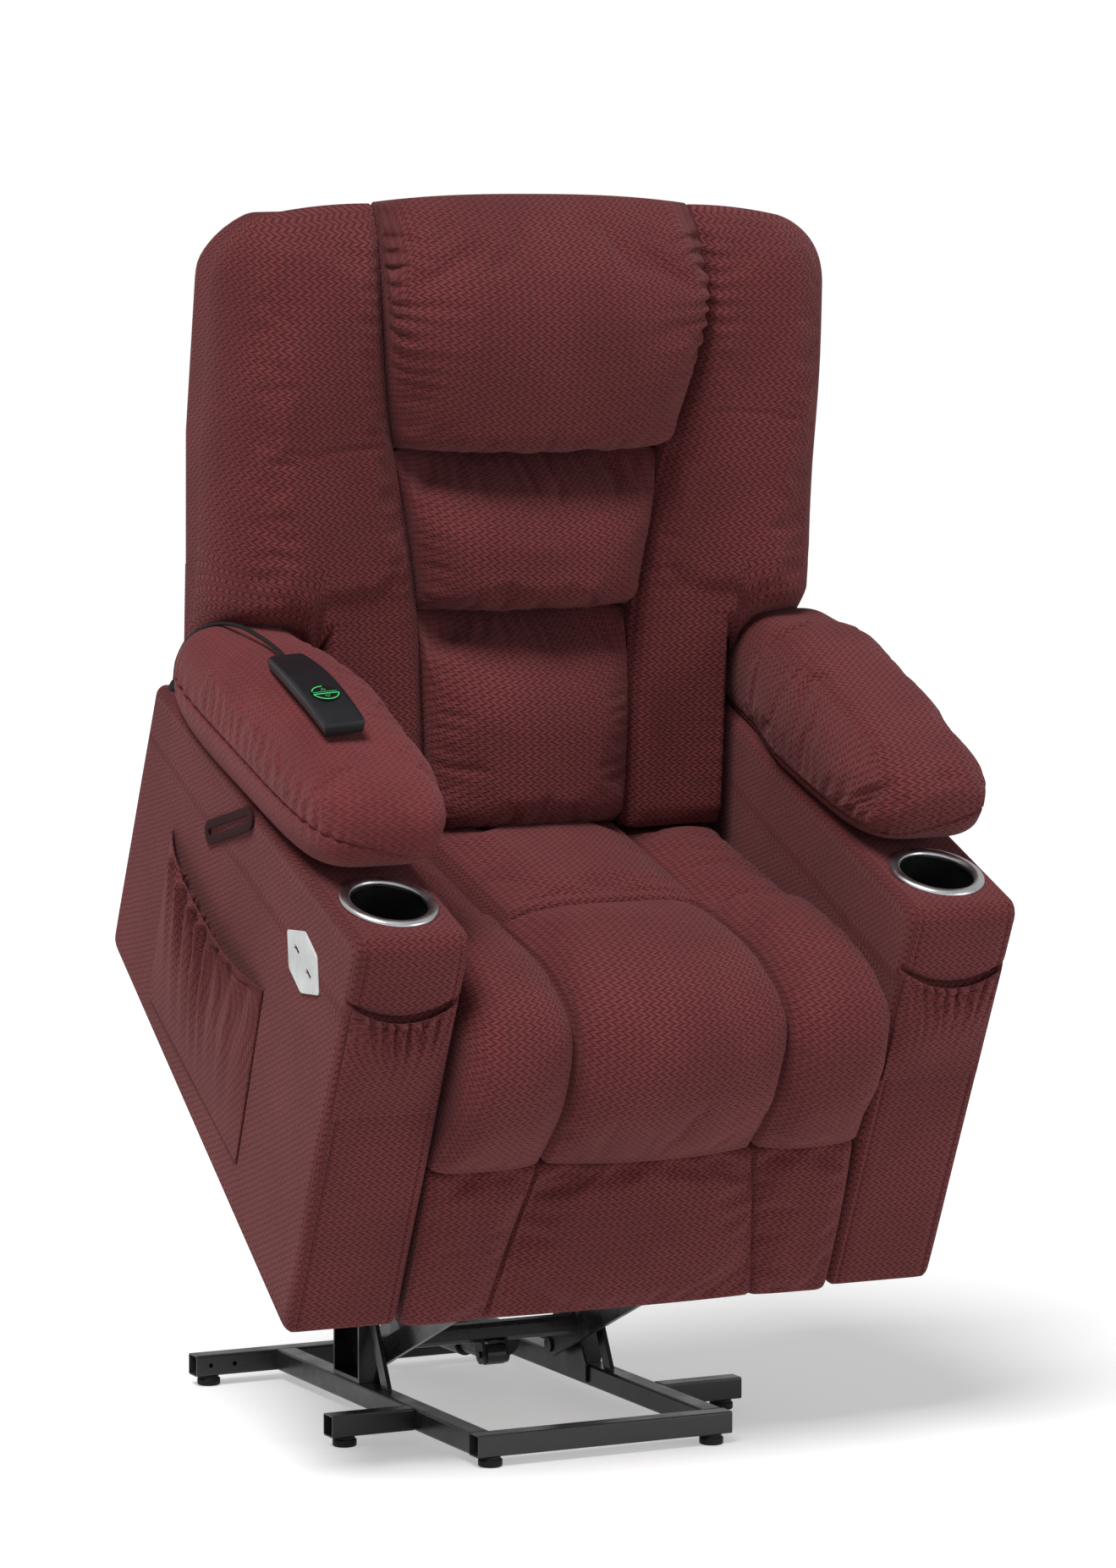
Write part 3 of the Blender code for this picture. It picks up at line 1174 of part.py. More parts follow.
def build_legrest_links(rear_links, front_links, control_links):
    hole = LEG_PIN_RADIUS + PIN_PLAY
    for tag, side in SIDES.items():
        rim = around([LEG_STUD, LEG_KNEE, LEG_CONTROL_FOOT], LEG_LINK_HALF)
        rear = sided(f"legrest_rear_link_{tag}", [rim, circle(LEG_STUD, hole)], side, *REAR_LINK)
        knee = link_faces(ROOT_ON_REAR_LINK, FRONT_LINK)[:3] + (CONTROL_LINK[0] + GAP,)
        foot = link_faces(ROOT_ON_REAR_LINK, CONTROL_LINK, LEG_HEAD_THICKNESS)
        radii = (LEG_PIN_RADIUS, LEG_HEAD_RADIUS, LEG_HEAD_RADIUS)
        slim = (LEG_PIN_RADIUS, LEG_PIN_RADIUS + 0.001, LEG_HEAD_RADIUS)
        union(
            rear,
            stud(f"knee_stud_{tag}", side, LEG_KNEE, knee, *radii),
            stud(f"control_stud_{tag}", side, LEG_CONTROL_FOOT, foot, *slim),
        )
        rear_links.hold(rear, ZINC)
        rim = around([LEG_KNEE, BOARD_PIN], LEG_LINK_HALF)
        holes = [circle(LEG_KNEE, hole), circle(BOARD_PIN, hole)]
        front = sided(f"legrest_front_link_{tag}", [rim, *holes], side, *FRONT_LINK)
        front_links.hold(front, ZINC)
        rim = around([LEG_CONTROL_FOOT, BOARD_CONTROL_PIN], LEG_LINK_HALF + 0.001)
        holes = [circle(LEG_CONTROL_FOOT, hole), circle(BOARD_CONTROL_PIN, hole + CONTROL_SLACK)]
        control = sided(f"legrest_control_link_{tag}", [rim, *holes], side, *CONTROL_LINK)
        control_links.hold(control, ZINC)


def build_legrest(legrest):
    """The board with the brackets of its links, and the pad that covers its front."""
    front_face, rear_face = BOARD_FACES
    low, high = BOARD_HEIGHTS
    outline = rounded(box_outline((-SEAT_FRAME_HALF, low), (SEAT_FRAME_HALF, high)), BOARD_CORNER, 2)
    board = flat_solid("legrest_board", [outline], front_face, rear_face, ACROSS_Y)
    root_y = rear_face + 0.004
    bracket = around([(root_y, 0.080), BOARD_PIN, BOARD_CONTROL_PIN, (root_y, 0.158)], LEG_LINK_HALF)
    pieces = plate_pair("board_bracket", [bracket], *REAR_LINK)
    for tag, side in SIDES.items():
        faces = link_faces(ROOT_ON_REAR_LINK, FRONT_LINK, LEG_HEAD_THICKNESS)
        radii = (LEG_PIN_RADIUS, LEG_HEAD_RADIUS, LEG_HEAD_RADIUS)
        pieces.append(stud(f"board_stud_{tag}", side, BOARD_PIN, faces, *radii))
        faces = link_faces(ROOT_ON_REAR_LINK, CONTROL_LINK, LEG_HEAD_THICKNESS)
        radii = (LEG_PIN_RADIUS, LEG_PIN_RADIUS + 0.001, LEG_PIN_RADIUS + CONTROL_SLACK + 0.002)
        pieces.append(stud(f"board_control_stud_{tag}", side, BOARD_CONTROL_PIN, faces, *radii))
    legrest.hold(union(board, *pieces), BOARD)
    build_legrest_pad(legrest, front_face - GAP)


def build_legrest_pad(legrest, rear):
    def place(a, b, c):
        z = LEGREST_FOOT + (LEGREST_TOP - LEGREST_FOOT) * b
        seam = LEGREST_SEAMS[0] + (LEGREST_SEAMS[1] - LEGREST_SEAMS[0]) * b
        half = SEAT_CUSHION_HALF
        x = float(np.interp(a, [-2, -1, 1, 2], [-half, -seam, seam, half]))
        edges = [-half, -seam, seam, half]
        swell = channel_crown(x, edges) * max(0.0, 4 * b * (1 - b)) ** 0.3
        face = -0.005 - 0.006 * b + 0.008 * (1 - min(1.0, 12 * b * (1 - b)))
        front = face - LEGREST_CROWN * swell
        return (x, rear + (front - rear) * c, z)

    half = (0.45, 0.80, 0.94, 1.0, 1.07, 1.25, 1.60, 1.90, 2.0)
    across = [-x for x in reversed(half)] + [*half]
    stations = (across, (0.0, 0.04, 0.14, 0.35, 0.65, 0.86, 0.96, 1.0), (0.0, 1.0))
    legrest.hold(lattice("legrest_pad", stations, place), FABRIC)


# ---------------------------------------------------------------- whole chair


def build_chair():
    base = Frame("base", None, (0.0, BASE_FRONT_Y, 0.0), (0.0, 0.0, 0.0))
    build_base(base)
    lower_arms = Frame("lower_arm_pivot", base, (0.0, *LOWER_PIVOT))
    upper_arms = Frame("upper_arm_pivot", base, (0.0, *UPPER_PIVOT))
    build_lift_arms(lower_arms, upper_arms)
    aim = heading(CLEVIS_PIN, LUG_PIN)
    length = (Vector(LUG_PIN) - Vector(CLEVIS_PIN)).length
    housing = Frame("actuator_pivot", base, (0.0, *CLEVIS_PIN), (0.0, 0.0, 0.0), (aim, 0.0, 0.0))
    rod = Frame("actuator_slide", housing, (0.0, OUTER_TUBE_END, 0.0))
    build_actuator(housing, rod, length)

    carriage = Frame(
        "carriage_pivot",
        lower_arms,
        (0.0, *LOWER_ARM_END),
        (0.0, *CARRIAGE_LOWER_PIN),
        (LIFT_TILT, 0.0, 0.0),
    )
    build_carriage(carriage)
    arms = {}
    for tag, side in SIDES.items():
        arms[tag] = build_arm(carriage, tag, side)
        build_arm_pad(carriage, tag, side)
    build_side_fittings(carriage, arms["l"])
    handset = Frame("handset_place", carriage, HANDSET_PLACE, (0.0, 0.0, 0.0), HANDSET_TURN)
    buttons = [
        Frame(f"button_{name}_slide", handset, (0.0, BUTTON_Y + sign * BUTTON_RADIUS / 2, HANDSET_HEIGHT))
        for name, sign in (("up", 1), ("down", -1))
    ]
    build_handset(handset, buttons)
    build_cord(carriage)

    seat = Frame("seat_slide", carriage, (0.0, FRONT_CROSS_Y, SEAT_FRAME_HEIGHTS[0]))
    build_seat_frame(seat)
    build_seat_cushion(seat)
    back = Frame("back_pivot", seat, (0.0, *BACK_HINGE))
    build_back_frame(back)
    for tag, side in SIDES.items():
        build_wing(back, tag, side)
    build_pillow(back, "lumbar_lower", LUMBAR_LOWER)
    build_pillow(back, "lumbar_upper", LUMBAR_UPPER)
    build_pillow(back, "head_pillow", HEAD_PILLOW, head_rise)

    rear_links = Frame("rear_link_pivot", seat, (0.0, *LEG_STUD))
    front_links = Frame("front_link_pivot", rear_links, (0.0, *LEG_KNEE))
    control_links = Frame("control_link_pivot", rear_links, (0.0, *LEG_CONTROL_FOOT))
    legrest = Frame("legrest_pivot", front_links, (0.0, *BOARD_PIN))
    build_legrest_links(rear_links, front_links, control_links)
    build_legrest(legrest)


clear_scene()
PARTS = collection("lift_recliner_chair")
TOOLS = collection("cutters", hidden=True)
build_chair()
bpy.context.view_layer.update()
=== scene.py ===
"""The looks of a powered lift recliner chair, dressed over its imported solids.

Metres and +Z up throughout. The chair is drawn in its own upright coordinates, y back and z up
from the foot of its arm fronts, and `to_world` tips it as the raised lift does.
"""

import logging
import math
from dataclasses import dataclass, field
from enum import Enum
from typing import Callable, Iterable, Sequence

import bmesh
import bpy
import numpy as np
from mathutils import Euler, Matrix, Vector


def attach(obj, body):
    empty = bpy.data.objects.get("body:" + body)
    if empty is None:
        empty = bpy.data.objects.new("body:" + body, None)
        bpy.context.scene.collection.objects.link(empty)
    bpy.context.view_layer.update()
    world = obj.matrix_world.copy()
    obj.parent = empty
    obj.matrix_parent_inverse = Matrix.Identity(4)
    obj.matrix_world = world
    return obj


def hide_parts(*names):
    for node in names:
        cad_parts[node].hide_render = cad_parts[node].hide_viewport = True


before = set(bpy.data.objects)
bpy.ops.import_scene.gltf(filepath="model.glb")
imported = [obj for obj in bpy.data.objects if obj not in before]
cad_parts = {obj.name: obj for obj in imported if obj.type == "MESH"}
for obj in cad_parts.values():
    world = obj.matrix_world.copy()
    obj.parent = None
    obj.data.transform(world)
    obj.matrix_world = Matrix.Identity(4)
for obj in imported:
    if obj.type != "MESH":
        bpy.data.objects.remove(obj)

LOG = logging.getLogger("lift_recliner")
Array = np.ndarray
Node = bpy.types.Node
Socket = bpy.types.NodeSocket
Object = bpy.types.Object
Knots = Sequence[tuple[float, float]]

TILT = math.radians(19.2)
BASE_FRONT_Y = -0.1835
CHAIR_FOOT = (0.0, BASE_FRONT_Y - 0.0205, 0.1688)
SIDES = {"l": -1.0, "r": 1.0}

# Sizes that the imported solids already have, repeated here
ARM_INNER = 0.2625
ARM_OUTER = 0.395
ARM_CORNERS = {
    "front_foot": (0.0, 0.0),
    "rear_foot": (0.590, 0.190),
    "rear_top": (0.560, 0.523),
    "front_top": (-0.042, 0.488),
}
DECK_SLOPE = math.atan2(0.523 - 0.488, 0.602)
CUP_Y = 0.036
CUP_RADIUS = 0.0485
SEAT_HALF = 0.2555
SEAT_SEAM = 0.124
SEAT_PAD_HALF = 0.114
BACK_TOP = 1.035
HELD = "held"
SMOOTH = "smooth"
FILLING = "filling"
POUCH_CLOTH = 0.0018
HANDSET_LENGTH = 0.164
HANDSET_HEIGHT = 0.018
HANDSET_PLACE = (-0.3530, 0.2340, 0.6440)
HANDSET_TURN = Euler((math.radians(3.2), math.radians(-4.0), math.radians(1.0)))


# ---------------------------------------------------------------- placing and noise


def to_world(points: Array) -> Array:
    """Tips chair coordinates by the lift's angle and sets them on the carriage.

    Args:
        points: an array whose last axis is x, y, z in chair coordinates.

    Returns:
        The same points in the row frame.
    """
    points = np.asarray(points, float)
    y, z = points[..., 1], points[..., 2]
    out = points.copy()
    out[..., 1] = CHAIR_FOOT[1] + y * math.cos(TILT) - z * math.sin(TILT)
    out[..., 2] = CHAIR_FOOT[2] + y * math.sin(TILT) + z * math.cos(TILT)
    return out


def deck_height(y: Array | float) -> Array | float:
    """The height of an arm's top face at a depth, a straight line."""
    front, rear = ARM_CORNERS["front_top"], ARM_CORNERS["rear_top"]
    return front[1] + (y - front[0]) * (rear[1] - front[1]) / (rear[0] - front[0])


def merged(*stops: Sequence[float] | Array) -> Array:
    """All the stops in order, each once."""
    return np.unique(np.concatenate(stops))


def blended(x: Array | float, knots: Knots) -> Array:
    """A smooth curve through knots: cubic pieces whose slopes are those of the neighbours' chord.

    Args:
        x: where to read the curve; past its ends it stays level.
        knots: (place, value) pairs, with rising places.

    Returns:
        The curve's values.
    """
    place = np.array([k[0] for k in knots], float)
    value = np.array([k[1] for k in knots], float)
    slope = np.gradient(value, place)
    x = np.clip(np.asarray(x, float), place[0], place[-1])
    i = np.clip(np.searchsorted(place, x, side="right") - 1, 0, len(place) - 2)
    span = place[i + 1] - place[i]
    t = (x - place[i]) / span
    rise = (1 + 2 * t) * (1 - t) ** 2 * value[i] + t * t * (3 - 2 * t) * value[i + 1]
    return rise + span * (t * (1 - t) ** 2 * slope[i] - t * t * (1 - t) * slope[i + 1])


def stepped(x: Array | float, knots: Knots) -> Array:
    """The broken line through knots of (place, value)."""
    return np.interp(x, [k[0] for k in knots], [k[1] for k in knots])


def unevenness(x: Array, y: Array, size: float, seed: int) -> Array:
    """Soft lumps between -1 and 1: a sum of five sine waves in seeded directions.

    Args:
        x: first coordinate in metres.
        y: second coordinate in metres.
        size: the usual distance from one lump to the next.
        seed: picks the directions and phases.

    Returns:
        The height at each point.
    """
    picks = np.random.default_rng(seed).uniform(0, 1, (5, 3))
    total = np.zeros(np.broadcast(x, y).shape)
    for turn, phase, stretch in picks:
        pitch = size * (0.7 + 0.9 * stretch)
        along = x * math.cos(turn * math.tau) + y * math.sin(turn * math.tau)
        total += np.sin(along / pitch * math.tau + phase * math.tau)
    return total / 5


def gathers(along: Array, off: Array, pitch: float, reach: float, seed: int) -> Array:
    """Puckers that run away from a drawn seam and die out.

    A ridge wave along the seam, its phase wandering by a slow sine, times a decay with distance
    from the seam whose length varies from pucker to pucker.

    Args:
        along: metres along the seam.
        off: metres away from it.
        pitch: the usual distance between puckers.
        reach: how far they run.
        seed: picks the wandering.

    Returns:
        A height between about -1 and 1.
    """
    drift = unevenness(along, along * 0, pitch * 5, seed) * 2.6
    phase = along / pitch * math.tau + drift + off / reach * unevenness(along, off, pitch * 4, seed + 1)
    length = reach * (0.75 + 0.55 * unevenness(along, along * 0, pitch * 3, seed + 2))
    near = np.clip(off / (pitch * 0.25), 0, 1)
    return np.cos(phase) * np.exp(-np.clip(off, 0, None) / np.maximum(length, reach * 0.15)) * near


def spaced(low: float, high: float, pitch: float, seams: Iterable[float] = (), groove: float = 0.0015) -> Array:
    """Stations from low to high about `pitch` apart, with five close ones across each seam.

    Args:
        low: the first station.
        high: the last station.
        pitch: the spacing away from seams.
        seams: where a seam's groove needs finer stations.
        groove: the half width of such a groove.

    Returns:
        Rising stations.
    """
    even = np.linspace(low, high, max(2, int(round((high - low) / pitch)) + 1))
    extra = [s + k * groove for s in seams for k in (-2.4, -1.1, 0.0, 1.1, 2.4)]
    keep = [v for v in even if all(abs(v - e) > groove for e in extra) or v in (low, high)]
    return np.array(sorted({round(v, 7) for v in [*keep, *extra] if low <= v <= high}))


def groove(distance: Array, depth: float, width: float) -> Array:
    """The dip of a sewn seam: a bell curve of its distance."""
    return depth * np.exp(-((distance / width) ** 2))


# ---------------------------------------------------------------- meshes


def linked(name: str, data: bpy.types.ID) -> Object:
    """A new object round its data, in the scene."""
    piece = bpy.data.objects.new(name, data)
    bpy.context.scene.collection.objects.link(piece)
    return piece


def read(source: bpy.types.bpy_prop_collection, key: str, width: int = 1, kind: type = np.float32) -> Array:
    """One property of every item of a collection, as rows of `width` numbers."""
    numbers = np.empty(len(source) * width, kind)
    source.foreach_get(key, numbers)
    return numbers.reshape(-1, width) if width > 1 else numbers


def resampled(line: Array, count: int, closed: bool) -> tuple[Array, Array]:
    """Evenly spaced points along a broken line of (n, 2) points, and how far along they lie."""
    walk = arc_length(line, 0)
    even = np.linspace(0, walk[-1], count, endpoint=not closed)
    return np.stack([np.interp(even, walk, line[:, k]) for k in (0, 1)], -1), even / walk[-1]


def arc_length(points: Array, axis: int) -> Array:
    """Metres walked along an axis of a grid of points, from its first line."""
    steps = np.linalg.norm(np.diff(points, axis=axis), axis=-1)
    start = np.zeros_like(np.take(steps, [0], axis=axis))
    return np.cumsum(np.concatenate([start, steps], axis=axis), axis=axis)


def grid_quads(rows: int, columns: int, closed_rows: bool = False, closed_columns: bool = False) -> Array:
    """The faces of a grid of points, each as its four indices in turn."""
    i = np.arange(rows if closed_rows else rows - 1)
    j = np.arange(columns if closed_columns else columns - 1)
    i, j = (v.ravel() for v in np.meshgrid(i, j, indexing="ij"))
    down, right = (i + 1) % rows, (j + 1) % columns
    return np.stack([i * columns + j, i * columns + right, down * columns + right, down * columns + j], axis=1)


def mesh_object(
    name: str,
    points: Array,
    quads: Array | list[list[int]],
    uv: Array | None = None,
    held: Array | None = None,
) -> Object:
    """Puts arrays into a mesh, welds it, turns its faces outward and links its object.

    Args:
        name: the piece's name.
        points: (n, 3) places in the row frame.
        quads: rows of indices, one row for each face.
        uv: (n, 2) cloth coordinates in metres, or None.
        held: the share of each point that stays while the cloth is filled, or None.

    Returns:
        The new object, at the origin.
    """
    mesh = bpy.data.meshes.new(name)
    faces = quads.tolist() if isinstance(quads, np.ndarray) else quads
    mesh.from_pydata(np.asarray(points).reshape(-1, 3).tolist(), [], faces)
    if uv is not None:
        layer = mesh.uv_layers.new(name="cloth")
        corner = read(mesh.loops, "vertex_index", kind=np.int64)
        layer.data.foreach_set("uv", uv.reshape(-1, 2)[corner].astype(np.float32).ravel())
    if held is not None:
        mesh.attributes.new(HELD, "FLOAT", "POINT").data.foreach_set("value", held.astype(np.float32))
    work = bmesh.new()
    work.from_mesh(mesh)
    bmesh.ops.remove_doubles(work, verts=work.verts, dist=1e-6)
    bmesh.ops.dissolve_degenerate(work, edges=work.edges, dist=1e-7)
    bmesh.ops.recalc_face_normals(work, faces=work.faces)
    if work.calc_volume(signed=True) < 0:
        bmesh.ops.reverse_faces(work, faces=work.faces)
    work.to_mesh(mesh)
    work.free()
    mesh.shade_smooth()
    return linked(name, mesh)


Place = Callable[[Array, Array, Array], tuple[Array, Array, Array]]
Share = Callable[[Array, Array, Array], Array]


def box_shell(
    name: str,
    place: Place,
    a: Array,
    b: Array,
    c: Array,
    pin: Share | None = None,
    rows: Array | None = None,
) -> Object:
    """The skin of a block of stations, each point moved by `place`, with cloth coordinates.

    The face c[0] is the outer one. Cloth coordinates are metres walked on it from its middle
    column and its first row, and go on round the block's sides.

    Args:
        name: the piece's name.
        place: turns arrays of a, b and c into x, y and z in chair coordinates.
        a: stations across.
        b: stations along.
        c: stations from the outer face to the hidden one.
        pin: a share from 0 to 1 that a point is held while the cloth is filled, or None.
        rows: the cloth's metres at each station of b, or None to walk them.

    Returns:
        The closed piece.
    """
    middle = int(np.argmin(np.abs(a)))

    def patch(aa: Array, bb: Array, cc: Array) -> tuple[Array, Array]:
        held = np.zeros(aa.shape) if pin is None else pin(aa, bb, cc)
        return to_world(np.stack(place(aa, bb, cc), axis=-1)), held

    parts: list[tuple[Array, Array, Array]] = []
    bb, aa = np.meshgrid(b, a, indexing="ij")
    face, held = patch(aa, bb, np.full_like(aa, c[0]))
    u = arc_length(face, 1)
    u = u - u[:, middle : middle + 1]
    v = arc_length(face, 0) if rows is None else np.broadcast_to(rows[:, None], u.shape)
    parts.append((face, np.stack([u, v], -1), held))
    face, held = patch(aa, bb, np.full_like(aa, c[-1]))
    parts.append((face, np.stack([u + 0.4, v], -1), held))
    for end, sign in ((0, -1.0), (-1, 1.0)):
        bb, cc = np.meshgrid(b, c, indexing="ij")
        face, held = patch(np.full_like(bb, a[end]), bb, cc)
        walk = u[:, end][:, None] + sign * arc_length(face, 1)
        parts.append((face, np.stack([walk, np.broadcast_to(v[:, end][:, None], walk.shape)], -1), held))
        cc, aa = np.meshgrid(c, a, indexing="ij")
        face, held = patch(aa, np.full_like(aa, b[end]), cc)
        walk = v[end][None] + sign * arc_length(face, 0)
        parts.append((face, np.stack([np.broadcast_to(u[end][None], walk.shape), walk], -1), held))
    points, uvs, helds, quads, count = [], [], [], [], 0
    for face, cloth, held in parts:
        points.append(face.reshape(-1, 3))
        uvs.append(cloth.reshape(-1, 2))
        helds.append(held.ravel())
        quads.append(grid_quads(*face.shape[:2]) + count)
        count += face.shape[0] * face.shape[1]
    share = None if pin is None else np.concatenate(helds)
    return mesh_object(name, np.concatenate(points), np.concatenate(quads), np.concatenate(uvs), share)


def turn_cloth(piece: Object) -> Object:
    """Swaps the cloth coordinates of faces that look sideways, so that the zigzag runs back."""
    mesh = piece.data
    uv = read(mesh.uv_layers["cloth"].data, "uv", 2)
    count = read(mesh.polygons, "loop_total", kind=np.int32)
    sideways = np.repeat(np.abs(read(mesh.polygons, "normal", 3)[:, 0]) > 0.6, count)
    uv[sideways] = uv[sideways][:, ::-1]
    mesh.uv_layers["cloth"].data.foreach_set("uv", uv.ravel())
    return piece


def lathe(
    name: str,
    profile: Sequence[tuple[float, float]],
    foot: Sequence[float],
    axis: Sequence[float],
    steps: int,
) -> Object:
    """A closed profile of (radius, height) turned round an axis in the row frame."""
    profile_array = np.array(profile, float)
    turn = np.linspace(0, math.tau, steps, endpoint=False)
    ring = np.stack([np.cos(turn), np.sin(turn)], -1)
    flat = profile_array[:, None, 0, None] * ring[None]
    height = np.broadcast_to(profile_array[:, None, 1, None], flat.shape[:2] + (1,))
    points = np.concatenate([flat, height], -1)
    aim = np.array(Vector(axis).to_track_quat("Z", "Y").to_matrix())
    points = points @ aim.T + np.array(foot)
    closed = bool(profile_array[0, 0] > 0)
    return mesh_object(name, points, grid_quads(len(profile), steps, closed, True))


def swept(name: str, path: Array, outline: Array, up: Sequence[float], closed: bool) -> Object:
    """An outline carried along a path, square to it, with its ends filled by a fan.

    Args:
        name: the piece's name.
        path: (n, 3) points in the row frame.
        outline: (m, 2) the closed outline across the path; its second axis leans to `up`.
        up: the direction that stays up.
        closed: whether the path's ends meet.

    Returns:
        The piece.
    """
    path = np.asarray(path, float)
    if closed:
        ahead = np.roll(path, -1, 0) - np.roll(path, 1, 0)
    else:
        ahead = np.gradient(path, axis=0)
    ahead /= np.linalg.norm(ahead, axis=1, keepdims=True)
    side = np.cross(ahead, np.asarray(up, float))
    side /= np.linalg.norm(side, axis=1, keepdims=True)
    top = np.cross(side, ahead)
    points = path[:, None] + outline[None, :, :1] * side[:, None] + outline[None, :, 1:] * top[:, None]
    rows, columns = points.shape[:2]
    quads = grid_quads(rows, columns, closed, True).tolist()
    flat = points.reshape(-1, 3)
    if not closed:
        ends = np.stack([points[0].mean(0), points[-1].mean(0)])
        flat = np.concatenate([flat, ends])
        for row, tip in ((0, rows * columns), (rows - 1, rows * columns + 1)):
            quads += [[row * columns + j, row * columns + (j + 1) % columns, tip] for j in range(columns)]
    return mesh_object(name, flat, quads)


def disc(radius: float, steps: int, squash: float) -> Array:
    """An oval outline, `squash` as high as it is wide."""
    turn = np.linspace(0, math.tau, steps, endpoint=False)
    return np.stack([radius * np.cos(turn), radius * squash * np.sin(turn)], -1)


def extruded(name: str, outline: Array, low: float, high: float, matrix: Matrix, soften: float = 0.0) -> Object:
    """A flat outline given thickness and placed, its edges softened by a bevel.

    Args:
        name: the piece's name.
        outline: (n, 2) points in turn.
        low: the height of its underside.
        high: the height of its top.
        matrix: where it goes.
        soften: the bevel's width, or 0.

    Returns:
        The piece.
    """
    work = bmesh.new()
    ring = [work.verts.new((x, y, low)) for x, y in outline]
    face = work.faces.new(ring)
    made = bmesh.ops.extrude_face_region(work, geom=[face])
    raised = [v for v in made["geom"] if isinstance(v, bmesh.types.BMVert)]
    bmesh.ops.translate(work, verts=raised, vec=(0, 0, high - low))
    if soften:
        rims = [e for e in work.edges if abs(e.verts[0].co.z - e.verts[1].co.z) < 1e-7]
        bmesh.ops.bevel(work, geom=rims, offset=soften, segments=2, profile=0.5, affect="EDGES")
    bmesh.ops.transform(work, matrix=matrix, verts=work.verts)
    bmesh.ops.recalc_face_normals(work, faces=work.faces)
    mesh = bpy.data.meshes.new(name)
    work.to_mesh(mesh)
    work.free()
    mesh.shade_smooth()
    mesh.set_sharp_from_angle(angle=math.radians(35))
    return linked(name, mesh)


def carved(piece: Object, tools: Sequence[Object]) -> Object:
    """Cuts the tools out of a piece with exact Booleans, for good, and removes them."""
    for tool in tools:
        change = piece.modifiers.new("cut", "BOOLEAN")
        change.solver = "EXACT"
        change.operation = "DIFFERENCE"
        change.object = tool
    graph = bpy.context.evaluated_depsgraph_get()
    shape = bpy.data.meshes.new_from_object(piece.evaluated_get(graph))
    piece.modifiers.clear()
    piece.data = shape
    for tool in tools:
        bpy.data.objects.remove(tool)
    return piece


def chair_matrix() -> Matrix:
    """Chair coordinates to the row frame."""
    return Matrix.Translation(CHAIR_FOOT) @ Matrix.Rotation(TILT, 4, "X")


def handset_matrix() -> Matrix:
    """The handset's own coordinates to the row frame."""
    return chair_matrix() @ Matrix.Translation(HANDSET_PLACE) @ HANDSET_TURN.to_matrix().to_4x4()


def smoothed(piece: Object) -> Object:
    """Adds one level of subdivision surface, the same in the render and the viewport."""
    finer = piece.modifiers.new(SMOOTH, "SUBSURF")
    finer.levels = finer.render_levels = 1
    return piece


@dataclass
class Stuffing:
    """Fills every queued cloth by pressure; its "held" attribute says which points stay."""

    pressure: float = 4.0
    spare: float = 0.04
    stiffness: float = 12.0
    frames: int = 20
    waiting: list[tuple[Object, float]] = field(default_factory=list)

    def add(self, piece: Object, reach: float) -> None:
        """Queues a smoothed piece; `reach` is how far a point of it may move."""
        self.waiting.append((piece, reach))

    def prepare(self, piece: Object) -> Array:
        """Puts the cloth on a piece and returns its points as they were."""
        held = np.round(read(piece.data.attributes[HELD].data, "value"), 2)
        group = piece.vertex_groups.new(name=HELD)
        for share in np.unique(held[held > 0]):
            group.add(np.flatnonzero(held == share).tolist(), float(share), "REPLACE")
        piece.modifiers[SMOOTH].show_viewport = False
        cloth = piece.modifiers.new(FILLING, "CLOTH")
        settings = {
            "quality": 5,
            "mass": 0.25,
            "tension_stiffness": self.stiffness,
            "compression_stiffness": self.stiffness,
            "shear_stiffness": self.stiffness / 3,
            "bending_stiffness": 0.4,
            "air_damping": 4,
            "use_pressure": True,
            "uniform_pressure_force": self.pressure,
            "shrink_min": -self.spare,
            "vertex_group_mass": group.name,
            "pin_stiffness": 1.0,
        }
        for key, value in settings.items():
            setattr(cloth.settings, key, value)
        cloth.settings.effector_weights.gravity = 0.0
        cloth.collision_settings.use_collision = False
        cloth.collision_settings.use_self_collision = False
        return read(piece.data.vertices, "co", 3)

    def fill(self) -> None:
        before = [self.prepare(piece) for piece, _ in self.waiting]
        for step in range(1, self.frames + 1):
            bpy.context.scene.frame_set(step)
        graph = bpy.context.evaluated_depsgraph_get()
        after = []
        for (piece, reach), rest in zip(self.waiting, before):
            moved = read(piece.evaluated_get(graph).to_mesh().vertices, "co", 3) - rest
            piece.evaluated_get(graph).to_mesh_clear()
            far = np.linalg.norm(moved, axis=1, keepdims=True)
            LOG.info("filled %s, moved up to %.1f mm", piece.name, float(far.max()) * 1000)
            after.append(rest + moved * np.minimum(1.0, reach / np.maximum(far, 1e-9)))
        for (piece, _), points in zip(self.waiting, after):
            piece.modifiers.remove(piece.modifiers[FILLING])
            piece.modifiers[SMOOTH].show_viewport = True
            piece.vertex_groups.clear()
            piece.data.vertices.foreach_set("co", points.astype(np.float32).ravel())
            piece.data.update()
        bpy.context.scene.frame_set(1)
        for piece, _ in self.waiting:
            piece.data.attributes.remove(piece.data.attributes[HELD])


# ---------------------------------------------------------------- shader building


